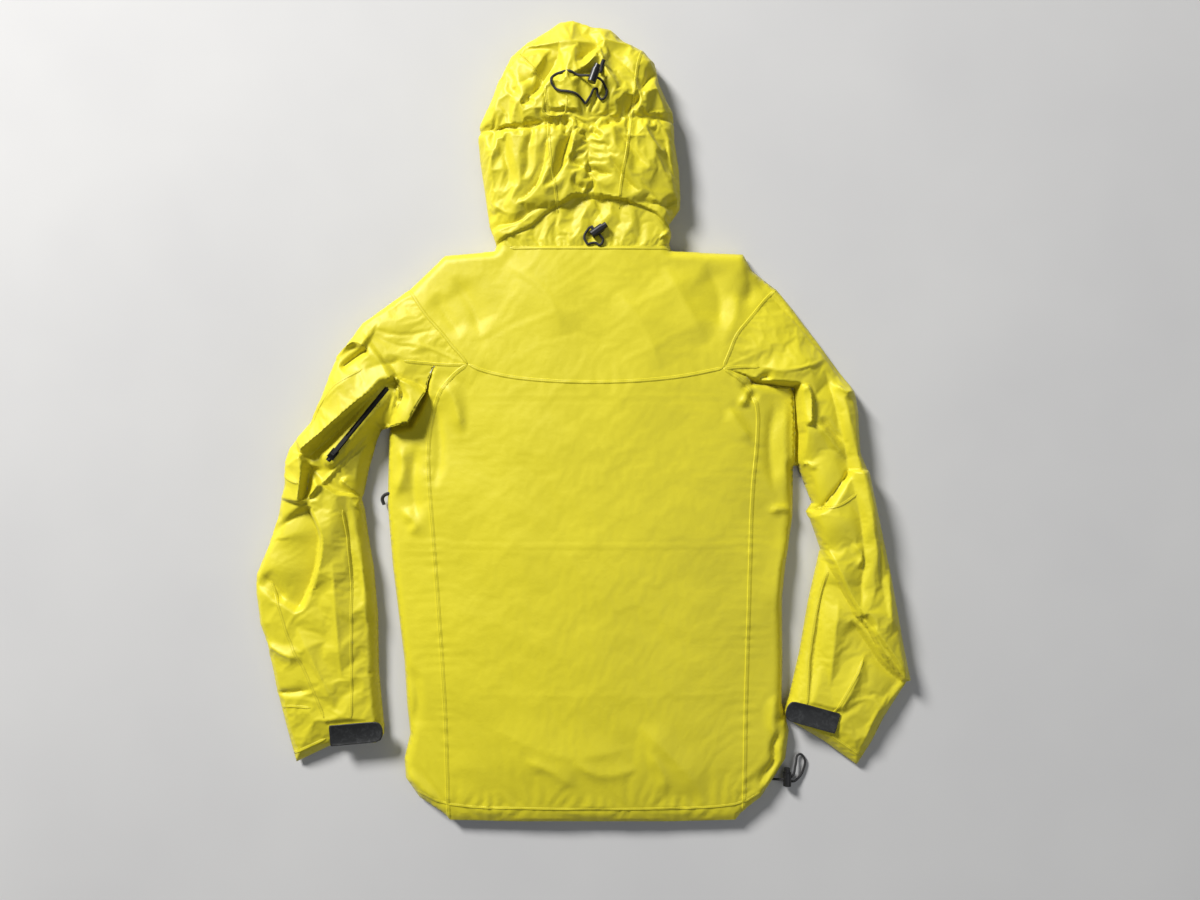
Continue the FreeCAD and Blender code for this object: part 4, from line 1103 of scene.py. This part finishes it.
def woven_black(name, colour=(0.012, 0.012, 0.013), period=0.0012):
    s = Shader(name, colour, 0.75, sheen=0.15)
    rib = s.weave(period)
    s.base(s.mix(rib, tint(colour, 0.6), tint(colour, 2.2)))
    s.bump(rib, 0.0001, 0.7)
    return s.material


def moulded(name, colour, roughness=0.42, grain=900, wear=(0.05, 0.05, 0.05)):
    """Moulded plastic or rubber with a fine spark-eroded grain and slightly worn high spots."""
    s = Shader(name, colour, roughness)
    worn = s.spots(s.noise(260, 4, 0.7), 0.55, 0.8)
    s.base(s.mix(s.math("MULTIPLY", worn, 0.5), colour, wear))
    s.bump(s.noise(grain, 2), 0.00008, 0.6)
    return s.material


def coated_metal(name, colour, roughness=0.32, metallic=0.9):
    s = Shader(name, colour, roughness, metallic)
    worn = s.spots(s.noise(700, 4, 0.7), 0.56, 0.72)
    s.base(s.mix(s.math("MULTIPLY", worn, 0.35), colour, (0.32, 0.31, 0.30)))
    s.bump(s.noise(1500), 0.00004, 0.5)
    return s.material


def braided(name, colour=(0.010, 0.010, 0.011)):
    s = Shader(name, colour, 0.7, sheen=0.2)
    plait = s.math("MULTIPLY", s.wave(0.0011, "DIAGONAL"), s.wave(0.0013, "Y", distortion=2.0))
    s.base(s.mix(plait, tint(colour, 0.6), tint(colour, 3.2)))
    s.bump(plait, 0.00018, 0.9)
    return s.material


def pile(name):
    s = Shader(name, (0.014, 0.014, 0.015), 0.95, sheen=0.6)
    fuzz = s.noise(1400, 5, 0.8)
    s.base(s.ramp(fuzz, (0.3, (0.006, 0.006, 0.007)), (0.7, (0.03, 0.03, 0.032))))
    s.bump(fuzz, 0.0004, 0.9)
    return s.material


def ribbed_tab(name):
    """The cuff strap: dark moulded face with fine cross ribs and scuffs."""
    s = Shader(name, (0.022, 0.024, 0.025), 0.5)
    scuff = s.ramp(s.noise(120, 5, 0.8, 1.0), (0.5, (0.014, 0.015, 0.016)), (0.75, (0.055, 0.058, 0.06)))
    s.base(scuff)
    s.bump(s.weave(0.0016), 0.00015, 0.6)
    s.bump(s.noise(500), 0.00006, 0.5)
    return s.material


CLOTH = face_cloth("face_cloth")
STITCHED = face_cloth("face_cloth_seam", tint(CHARTREUSE, 1.02), stitched=True)
LINING = lining_cloth()
EDGE = cut_edge()
TAPE = woven_black("zip_tape")
TEETH = moulded("zip_teeth", (0.012, 0.012, 0.012), 0.35)
METAL = coated_metal("slider_metal", (0.035, 0.035, 0.037))
RUBBER = moulded("pull_rubber", (0.010, 0.010, 0.011), 0.55)
PLASTIC = moulded("lock_plastic", (0.011, 0.011, 0.012), 0.38)
CORD = braided("cord")
TAB = ribbed_tab("tab_rubber")
PILE = pile("loop_pile")
STEEL = coated_metal("spring_steel", (0.45, 0.45, 0.46), 0.25, 1.0)
WEBBING = woven_black("webbing", (0.014, 0.014, 0.015), 0.0018)
PANEL = [CLOTH, LINING, EDGE]


# ---------------------------------------------------------------- the garment

FINE = 1.0


def left_of(path, where):
    """True for points on the left of a polyline."""
    return nearest(where, path)[0] > 0


def on_floor(flat):
    """A place in plan as a point on the floor, in metres."""
    return (flat[0] / 1000, flat[1] / 1000, FLOOR / 1000)


def bend_shoulder(piece, side):
    a, b = (on_floor(SHOULDER[side] + ARM_WAY[side] * s) for s in SHOULDER_BEND[side])
    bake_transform(piece)
    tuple(a)
    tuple(b)


def bend_elbow(piece, side):
    a, b = (on_floor(SHOULDER[side] + ARM_WAY[side] * s) for s in ELBOW_BEND[side])
    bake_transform(piece)
    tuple(a)
    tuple(b)


def bend_hood(piece):
    a, b = (on_floor((0, y)) for y in HOOD_BEND)
    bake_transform(piece)
    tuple(a)
    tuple(b)


WIDER_THAN_SLEEVE = 140


def cut_line(side):
    """Where the two pieces of a sleeve meet, straight across it."""
    way = ARM_WAY[side]
    centre = SHOULDER[side] + way * ARM_CUT[side]
    across = square_to(way) * WIDER_THAN_SLEEVE
    return np.array([centre - across, centre + across])


def soft_lift(level, where, top, rolled, reach=3.2):
    """Brings a lower layer up to meet the upper one along its rolled edges."""
    for path in rolled:
        level = towards(level, top, near(where, path, reach))
    return level


def tucked(level, where, top, rolled):
    """Keeps a lower layer under the upper one, and joins them along its rolled edges."""
    return soft_lift(np.minimum(level, top - LAYER_GAP), where, top, rolled)


left_top, right_top = arm_top("left"), arm_top("right")


def arm_top_over(where):
    """The left sleeve's lobe stays clear of the torso it lies on."""
    over = smooth(depth(where, TORSO) / 6)
    return np.maximum(left_top(where), torso_top(where) + 3 * over - 60 * (1 - over))


def rest_level(where, seed, zips=()):
    """A lower layer lying loosely on the floor, lifted by the zips in it."""
    rest = 1.3 + 1.1 * (0.5 + 0.5 * np.clip(drift(where, size=70, seed=seed), -1, 1))
    if zips:
        rest = towards(rest, ZIP_CLOTH_LEVEL, near_zip(where, zips, 24))
    return rest


# how far a lower layer stays above an arm or the torso that it lies on
CLEAR_OF_ARM, CLEAR_OF_TORSO = 1.6, 1.4
# the borders along which an upper and a lower layer are one turned cloth; the rest are seams or open ends
TORSO_ROLLED = [
    between(TORSO, (206, -174), (228, -748)), between(TORSO, (-239, -748), (-215, -160)),
    between(TORSO, (106, 0), (250, -52)), between(TORSO, (-252, -52), (-136, 0)),
]


def torso_under(where):
    level = rest_level(where, 41, ("main", "pocket_left", "pocket_right"))
    # below its armpit, the right sleeve lies under the torso
    over = smooth(depth(where, ARM_RIGHT) / 8 + 1) * (where[:, 1] < -150)
    level = towards(level, right_top(where) + CLEAR_OF_ARM, np.where(where[:, 0] > 0, over, 0))
    return tucked(level, where, torso_top(where), TORSO_ROLLED)


ARM_ROLLED = {
    "left": [between(ARM_LEFT, (-252, -52), (-408, -699)), between(ARM_LEFT, (-288, -646), (-215, -160))],
    "right": [
        between(ARM_RIGHT, (205, -175), (257, -636)),
        np.vstack([between(ARM_RIGHT, (360, -703), (279, -88)), ARM_RIGHT[:1]]),
    ],
}


def left_under(where):
    level = rest_level(where, 42)
    # the lobe lies over the torso
    over = smooth(depth(where, TORSO) / 6 + 1) * (where[:, 1] < -160) * (where[:, 1] > -255)
    level = towards(level, torso_top(where) + CLEAR_OF_TORSO, over)
    return tucked(level, where, arm_top_over(where), ARM_ROLLED["left"])


def right_under(where):
    return tucked(rest_level(where, 43, ("pit_right",)), where, right_top(where), ARM_ROLLED["right"])


HOOD_REST, ZIP_END_LEVEL = 1.5, 6.4


def hood_under(where):
    level = rest_level(where, 44) + HOOD_REST
    zip_end = np.exp(-((where[:, 0] / 26) ** 2)) * smooth((60 - where[:, 1]) / 16)
    level = towards(level, ZIP_END_LEVEL, zip_end)
    # the face opening's edge stands up a little
    level = level + 5 * near(where, FACE, 9) * smooth((where[:, 1] - 60) / 20)
    return soft_lift(level, where, hood_top(where), [HOOD[1:-2]])


# half the gap in the front that the main zip fills, and the hood's face opening above it
PLACKET = 13.6
FACE = points(
    (PLACKET, 50), (20, 82), (44, 100), (57, 130), (58, 200), (40, 238), (-4, 250), (-60, 246), (-90, 222),
    (-98, 180), (-94, 124), (-66, 96), (-20, 82), (-PLACKET, 50),
)
HOOD_FRONT = np.vstack([HOOD[:-1], points((PLACKET, 0)), FACE, points((-PLACKET, 0))])
FRONT_HALF = {
    "left": np.vstack([between(TORSO, (-100, -777), (-88, 0)), points((-PLACKET, 0), (-PLACKET, -777))]),
    "right": np.vstack([between(TORSO, (88, 0), (100, -777)), points((PLACKET, -777), (PLACKET, 0))]),
}

TAB_LONG, TAB_HALF, TAB_THICK = 72, 14, 1.6
# what the loop patch under a strap takes up
PATCH_ROOM = 1.6
# the middle of each strap's hinge (x, y, height), its turn in degrees, and which way along X it points
TAB_HINGE = {"left": (-357, -658, 25.4, 5, 1), "right": (328.5, -641, 27.2, -15.3, -1)}


def clear_of_strap(sheet, side):
    """Flattens the cuff where its strap and loop patch lie."""
    x, y, level, turn, way = TAB_HINGE[side]
    run = np.array([math.cos(math.radians(turn)), math.sin(math.radians(turn))]) * TAB_LONG * way
    out = square_to(run) / TAB_LONG * TAB_HALF
    corners = np.array([out, -out, run - out, run + out]) + (x, y)
    roof = level - PATCH_ROOM + 0.8 * np.clip(-depth(sheet.flat, corners) - 2, 0, None)
    sheet.at[:, 2] = np.minimum(sheet.at[:, 2], roof)


def fold_lines(folds):
    return [line for fold in folds for line in fold.lines()]


# how far apart the points of each sheet are; the lower ones are coarser inside than at their border
TORSO_STEP, ARM_STEP, HOOD_STEP = 4.4 * FINE, 2.5 * FINE, 2.1 * FINE
FRONT_STEP, ARM_UNDER_STEP, HOOD_UNDER_STEP = 7 * FINE, 5 * FINE, 4 * FINE
torso = Sheet(TORSO, TORSO_STEP, torso_top, [YOKE, *SIDE.values()])
front = {
    side: Sheet(half, FRONT_STEP, torso_under, [], [opening(f"pocket_{side}")], TORSO_STEP, down=True)
    for side, half in FRONT_HALF.items()
}
cuts = {side: cut_line(side) for side in ARM_CUT}
slots = {side: [opening(f"pit_{side}")] for side in ARM_CUT}
lines = [cuts["left"], *fold_lines(ARM_FOLDS["left"])]
left = Sheet(ARM_LEFT, ARM_STEP, arm_top_over, lines, slots["left"])
left_front = Sheet(ARM_LEFT, ARM_UNDER_STEP, left_under, [cuts["left"]], [], ARM_STEP, down=True)
lines = [cuts["right"], *fold_lines(ARM_FOLDS["right"])]
right = Sheet(ARM_RIGHT, ARM_STEP, right_top, lines)
lines = [cuts["right"]]
right_front = Sheet(ARM_RIGHT, ARM_UNDER_STEP, right_under, lines, slots["right"], ARM_STEP, down=True)
hood = Sheet(HOOD, HOOD_STEP, hood_top, [*HOOD_SEAM.values(), NECK, *fold_lines(HOOD_FOLDS)])
hood_front = Sheet(HOOD_FRONT, HOOD_UNDER_STEP, hood_under, [], [], HOOD_STEP, down=True)

# the hood is drawn in along its crown cord and down its middle, and the torso along its hem
CROWN_CORD = points(
    (-154, 158), (-120, 156), (-84, 157), (-50, 160), (-12, 176), (20, 166), (56, 168), (84, 172),
    (108, 174),
)
HEM = points((-236, -744), (-190, -754), (190, -754), (226, -744))
spine = near(hood.flat, points((-8, 172), (-6, 100), (0, 66)), 6)
hood.gather = np.maximum(near(hood.flat, rounded(CROWN_CORD, 2), 5), spine)
torso.gather = 0.35 * near(torso.flat, HEM, 4)
even_rim(left, left_front)
# sheet, growth, hold, stretch stiffness, bend stiffness
relax([
    (hood, 0.045, 0.07, 18, 0.5),
    (left, 0.011, 0.12, 20, 1.5),
    (right, 0.011, 0.12, 20, 1.5),
    (torso, 0.0015, 0.3, 25, 3.0),
])
clear_of_strap(left, "left")
clear_of_strap(right, "right")
# each layer is pressed below the one that covers it, from the uppermost down
OWN_GAP, OWN_LEAST = 3, 1
press_below(left_front, left, [closed(ARM_LEFT)], OWN_GAP, OWN_LEAST)
keep_above(left, left_front, ARM_LEFT)
press_below(torso, left_front, [ARMPIT["left"]], spread=1.0)
for sheet in front.values():
    press_below(sheet, torso, [closed(TORSO)], OWN_GAP, OWN_LEAST)
press_below(right, front["right"], [ARMPIT["right"]], spread=1.0)
press_below(right_front, right, [closed(ARM_RIGHT)], OWN_GAP, OWN_LEAST)
keep_above(right, right_front, ARM_RIGHT)
press_below(hood_front, hood, [closed(HOOD)], OWN_GAP, OWN_LEAST)
joined_normals([torso, *front.values(), left, left_front, right, right_front])
joined_normals([hood, hood_front])


def finished(piece, slot, *nodes):
    """Hides the CAD nodes that a piece stands for, and returns the piece; its slot is not used."""
    if nodes:
        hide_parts(*nodes)
    return piece


def panel(name, sheet, keep, *nodes):
    return finished(thick(name, sheet, keep, PANEL), "face_cloth", *nodes)


def middles(sheet):
    """The middle of each triangle in plan."""
    return sheet.flat[sheet.faces].mean(1)


def whole(sheet):
    return np.ones(len(sheet.faces), bool)


mid = middles(torso)
# the side panels start at the armpits
on_left = ~left_of(SIDE["left"], mid) & (mid[:, 0] < 0) & (mid[:, 1] < -157)
on_right = left_of(SIDE["right"], mid) & (mid[:, 0] > 0) & (mid[:, 1] < -160)
on_yoke = left_of(YOKE, mid) & ~on_left & ~on_right
for node, keep in {
    "back_panel": ~(on_left | on_right | on_yoke),
    "back_yoke": on_yoke,
    "side_panel_left": on_left,
    "side_panel_right": on_right,
}.items():
    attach(panel(f"{node}_cloth", torso, keep, node), "shell")
for side, sheet in front.items():
    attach(panel(f"front_panel_{side}_cloth", sheet, whole(sheet), f"front_panel_{side}"), "shell")

for side, part, sheet in (
    ("left", "back", left), ("left", "front", left_front),
    ("right", "back", right), ("right", "front", right_front),
):
    upper = down_arm(middles(sheet), side) < ARM_CUT[side]
    # the back piece stands for the whole CAD tube
    nodes = ([f"upper_sleeve_{side}"], [f"forearm_{side}"]) if part == "back" else ([], [])
    bend_shoulder(panel(f"upper_sleeve_{side}_{part}", sheet, upper, *nodes[0]), side)
    bend_elbow(panel(f"forearm_{side}_{part}", sheet, ~upper, *nodes[1]), side)

mid = middles(hood)
neck = ~left_of(NECK, mid)
brim = left_of(points((-150, 266), (-48, 268), (16, 271), (120, 266)), mid) & ~neck
beyond_left = ~left_of(HOOD_SEAM["left"], mid) & (mid[:, 0] < 0) & ~brim & ~neck
beyond_right = left_of(HOOD_SEAM["right"], mid) & (mid[:, 0] > 0) & ~brim & ~neck
centre = ~(neck | brim | beyond_left | beyond_right)
bend_hood(panel("collar_back_cloth", hood, neck, "collar_back"))
bend_hood(panel("hood_centre_cloth", hood, centre, "hood_centre_panel"))
bend_hood(panel("hood_side_left_cloth", hood, beyond_left, "hood_side_left"))
bend_hood(panel("hood_side_right_cloth", hood, beyond_right, "hood_side_right"))
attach(panel("hood_brim_cloth", hood, brim, "hood_brim"), "hood")
face_nodes = ("hood_face_layer", "chin_guard_left", "chin_guard_right")
bend_hood(panel("hood_front_cloth", hood_front, whole(hood_front), *face_nodes))

# ---------------------------------------------------------------- seams

# seams that cross the garment lie on whatever is uppermost
over_body = surface_tree([torso, left, right])
over_hood = surface_tree([hood])


def seam(name, path, tree, width=5.0):
    return finished(ribbon(name, path, tree, width, [STITCHED]), "face_cloth")


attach(seam("seam_yoke", YOKE, over_body), "shell")
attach(seam("seam_collar", points((-114, -1), (0, -1.5), (110, -1)), surface_tree([torso, hood])), "shell")
for side in ("left", "right"):
    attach(seam(f"seam_side_{side}", SIDE[side], over_body, 6.0), "shell")
    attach(seam(f"seam_armhole_{side}", ARMHOLE[side], over_body, 5.0), "shell")
    bend_hood(seam(f"seam_hood_{side}", HOOD_SEAM[side], over_hood, 4.5))
for name, path in {
    "seam_armpit_left": ((-169, -158), (-196, -158), (-226, -156), (-256, -153)),
    "seam_armpit_right": ((173, -163), (190, -161), (206, -160), (222, -161)),
}.items():
    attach(seam(name, points(*path), over_body), "shell")
path = points((-240, -734), (-196, -755), (0, -757), (192, -755), (228, -735))
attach(seam("seam_hem", path, over_body, 3.6), "shell")
path = points((-36, 193), (-36, 176), (-46, 165), (-62, 168), (-70, 180))
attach(seam("seam_hood_patch", path, over_hood, 3.4), "hood")
for name, path in {
    "seam_forearm_left_outer": ((-438, -448), (-424, -483), (-411, -530), (-388, -572), (-364, -634)),
    "seam_forearm_left_inner": ((-338, -352), (-331, -389), (-326, -455), (-327, -560), (-327, -634)),
    "seam_elbow_left": ((-422, -303), (-408, -312), (-392, -317)),
    "seam_cuff_left": ((-428, -622), (-408, -618), (-382, -620)),
    "cuff_hem_left": ((-413, -687), (-390, -676), (-364, -664)),
    "cuff_hem_right": ((320, -658), (340, -672), (366, -690)),
    "seam_forearm_right_inner": ((316, -434), (300, -497), (292, -560), (288, -616)),
    "seam_forearm_right_outer": ((364, -552), (352, -578), (336, -606), (322, -632)),
}.items():
    bend_elbow(seam(name, points(*path), over_body, 4.0), "left" if "left" in name else "right")
path = points((300, -352), (330, -346), (352, -330))
bend_shoulder(seam("seam_elbow_right", path, over_body, 4.0), "right")
path = points((-308, -164), (-330, -176), (-350, -188), (-368, -214), (-380, -240))
bend_shoulder(seam("seam_sleeve_left", path, over_body, 4.0), "left")

# ---------------------------------------------------------------- zips, cords and small parts


def zip_strip(side, level, facing):
    """A pit zip's tape, with the coil showing as a narrow raised line along its middle."""
    start, way, length = ZIPS[f"pit_{side}"]
    across = square_to(way)
    half, coil_half, coil_foot, proud, over_end = 5.5, 0.9, 1.3, 0.8, 4
    profile = [(-half, 0), (-coil_foot, 0), (-coil_half, proud), (coil_half, proud), (coil_foot, 0)]
    profile += [(half, 0), (half, -proud), (-half, -proud)]
    steps = np.linspace(-over_end, length + over_end, 64)
    at = [(*(start + way * s + across * off), level + up * facing) for s in steps for off, up in profile]
    faces = ring_faces(len(steps), len(profile), facing > 0)
    piece = mesh_object(f"pit_zip_{side}_strip", at, faces, [TAPE])
    bend_shoulder(finished(piece, "zip_tape", f"pit_zip_{side}_chain"), side)


zip_strip("left", level=PIT_LEFT_LEVEL - 0.6, facing=1)
zip_strip("right", level=CHAIN_LEVEL + 0.6, facing=-1)


def cuff_strap(side):
    """The strap over a cuff: rounded at its free end, with a rolled edge."""
    x, y, level, turn, way = TAB_HINGE[side]
    half = [
        (0, -TAB_HALF), (4, -TAB_HALF), (TAB_LONG - 12, -TAB_HALF), (TAB_LONG - 4, -TAB_HALF + 2),
        (TAB_LONG - 1, -TAB_HALF + 7), (TAB_LONG, -3),
    ]
    mirrored = [(a, -b) for a, b in reversed(half)]
    corners = rounded(closed(points((0, 0), *half, *mirrored)), 1)[:-1]
    middle = np.array([TAB_LONG / 2, 0])
    # share of the width, and of the thickness, from the underside up and over the edge
    rings = [(0.96, 0), (1.0, 0.25), (1.0, 0.75), (0.96, 1), (0.90, 1.0), (0.87, 0.85)]
    at = []
    for share, up in rings:
        ring = middle + (corners - middle) * np.array([1 - (1 - share) * 0.5, share])
        at.append(np.column_stack([ring, np.full(len(ring), up * TAB_THICK)]))
    at = np.vstack(at)
    at[:, 0] *= way
    c, s = math.cos(math.radians(turn)), math.sin(math.radians(turn))
    flat = at[:, :2] @ np.array([[c, s], [-s, c]]) + (x, y)
    at = np.column_stack([flat, at[:, 2] + level])
    piece = mesh_object(f"cuff_strap_{side}", at, ring_faces(len(rings), len(corners), way < 0), [TAB])
    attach(finished(piece, "tab_rubber", f"cuff_tab_{side}"), f"tab_{side}")


cuff_strap("left")
cuff_strap("right")


def coil(lock, turn, body, turns=3, radius=3.0, wire=0.35, height=3.9):
    """The spring in a cord lock: one end rests in the barrel."""
    low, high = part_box(f"{lock}_spring")
    centre = (np.array(low) + np.array(high)) * 500
    angle = math.radians(turn)
    axis = np.array([-math.sin(angle), math.cos(angle), 0])
    across, up = np.array([axis[1], -axis[0], 0]), np.array([0, 0, 1.0])
    count, around = 24 * turns, 8
    section = np.linspace(0, math.tau, around, endpoint=False)
    at = []
    for k in range(count + 1):
        t = math.tau * turns * k / count
        out = across * math.cos(t) + up * math.sin(t)
        spot = centre + axis * height * (k / count - 0.5) + out * radius
        at += [spot + (out * math.cos(a) + axis * math.sin(a)) * wire for a in section]
    at = np.array(at)
    at[:, 2] -= FLOOR
    piece = mesh_object(f"{lock}_coil", at, ring_faces(count + 1, around, True), [STEEL])
    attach(finished(piece, "spring_steel", f"{lock}_spring"), body)
    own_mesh(piece)


coil("hood_lock", turn=-20, body="hood")
coil("collar_lock", turn=-55, body="shell")


def over(gap, *flat):
    """Points laid on the hood and collar, standing a little above them."""
    at, _ = laid(over_hood, flat)
    at[:, 2] += gap
    return at


def cord_piece(name, at, body, *nodes, radius=1.6):
    """A cord through points, riding on a body."""
    curve = bpy.data.curves.new(name, "CURVE")
    curve.dimensions, curve.resolution_u = "3D", 5
    curve.bevel_depth, curve.bevel_resolution, curve.use_fill_caps = radius / 1000, 4, True
    spline = curve.splines.new("BEZIER")
    spline.bezier_points.add(len(at) - 1)
    for point, spot in zip(spline.bezier_points, to_metres(at)):
        point.co = spot
        point.handle_left_type = point.handle_right_type = "AUTO"
    curve.materials.append(CORD)
    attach(finished(add_object(name, curve), "cord", *nodes), body)


# the level at which the cords leave each lock
HOOD_LOCK, COLLAR_LOCK = 73.5, 42.5
loop = over(
    1.6, (-22, 219), (-31, 223), (-43, 224), (-53, 220), (-56, 212), (-52, 204), (-46, 200), (-34, 197),
    (-24, 194), (-16, 189), (-11, 184),
)
cord_piece("hood_cord_loop", [(-1, 213, HOOD_LOCK), (-7, 214, HOOD_LOCK), *loop], "hood", "hood_cord")
loop = over(1.8, (15, 203), (17, 196), (11, 188), (5, 194), (3, 202), (-5, 192), (-11, 184))
# where it crosses itself
loop[3:5, 2] += 2.2
cord_piece("hood_cord_short_loop", [(1, 212, HOOD_LOCK), (8, 210, HOOD_LOCK - 1), *loop], "hood")
cord_piece("hood_cord_end", over(3.4, (9, 222), (10, 230), (13, 238)), "hood", radius=2.6)
loop = over(1.5, (-9, 21), (-13, 12), (-9, 3))
path = [(1, 21, COLLAR_LOCK), (-4, 25, COLLAR_LOCK - 0.5), *loop]
cord_piece("collar_cord_left", path, "shell", "collar_cord")
loop = over(1.6, (12, 10), (8, 2), (2, 5), (-9, 3))
cord_piece("collar_cord_right", [(5, 19, COLLAR_LOCK - 0.5), (10, 12, COLLAR_LOCK - 1), *loop], "shell")
cord_piece("collar_cord_ball", over(3.2, (-4, 24), (-1, 26)), "shell", radius=3.0)
tail = points(
    (240, -722, 9), (257, -722, 10), (271, -718, 10), (276, -704, 7), (282, -690, 3.6), (289, -696, 3),
    (288, -710, 3), (281, -722, 4), (272, -726, 8), (264, -722, 10),
)
cord_piece("hem_cord_tail", tail, "shell", "hem_cord")
pull = points((-270, -333, 12), (-283, -332, 10), (-290, -338, 8), (-288, -347, 7))
cord_piece("side_pull_left", pull, "shell", radius=2.4)

# ---------------------------------------------------------------- what stays from the CAD

# the first entry whose word is in a node's name gives its material
FINISH = [
    ("tape", TAPE), ("teeth", TEETH), ("chain", TEETH), ("stops", METAL), ("zip_box", METAL),
    ("insertion_pin", METAL), ("slider", METAL), ("pull", RUBBER), ("spring", STEEL), ("barrel", PLASTIC),
    ("button", PLASTIC), ("cord", CORD), ("cuff_tab", TAB), ("loop_patch", PILE), ("hanging_loop", WEBBING),
    ("storm_flap", CLOTH), ("pocket_bag", LINING),
]
for name, node in frame["nodes"].items():
    material = next((found for word, found in FINISH if word in name), CLOTH)
    node.data.materials.clear()
    node.data.materials.append(material)

# ---------------------------------------------------------------- studio


def studio():
    world = bpy.data.worlds.new("studio")
    bpy.context.scene.world = world
    world.use_nodes = True
    sky = world.node_tree.nodes["Background"]
    sky.inputs["Color"].default_value, sky.inputs["Strength"].default_value = (0.93, 0.96, 1.0, 1), 0.10

    def area(name, at, size, power, colour=(1, 1, 1)):
        light = bpy.data.lights.new(name, "AREA")
        light.shape, light.size, light.energy, light.color = "DISK", size, power, colour
        obj = add_object(name, light)
        obj.location = at
        aim = Vector((0.0, -0.25, 0.0)) - obj.location
        obj.rotation_euler = aim.to_track_quat("-Z", "Y").to_euler()

    area("key", (-2.7, 2.9, 2.7), 1.3, 372, (1, 0.985, 0.96))
    area("fill", (1.2, -0.8, 2.4), 2.4, 12, (0.95, 0.97, 1))

    size, base = 3.0, FLOOR / 1000 - 0.0004
    mesh = bpy.data.meshes.new("studio_floor")
    corners = [(x * size, y * size, base) for x, y in ((-1, -1), (1, -1), (1, 1), (-1, 1))]
    mesh.from_pydata(corners, [], [(0, 1, 2, 3)])
    floor = add_object("studio_floor", mesh)
    s = Shader("studio_floor", (0.60, 0.60, 0.60), 0.85)
    s.base(s.ramp(s.noise(3, 3), (0.3, (0.58, 0.58, 0.585)), (0.7, (0.62, 0.62, 0.62))))
    mesh.materials.append(s.material)

    camera = bpy.data.cameras.new("camera")
    camera.lens, camera.sensor_width = 27.2, 36
    eye = add_object("camera", camera)
    eye.location = (0.008, -0.272, FLOOR / 1000 + 1.25)
    bpy.context.scene.camera = eye
    bpy.context.scene.view_settings.view_transform = "Standard"


studio()
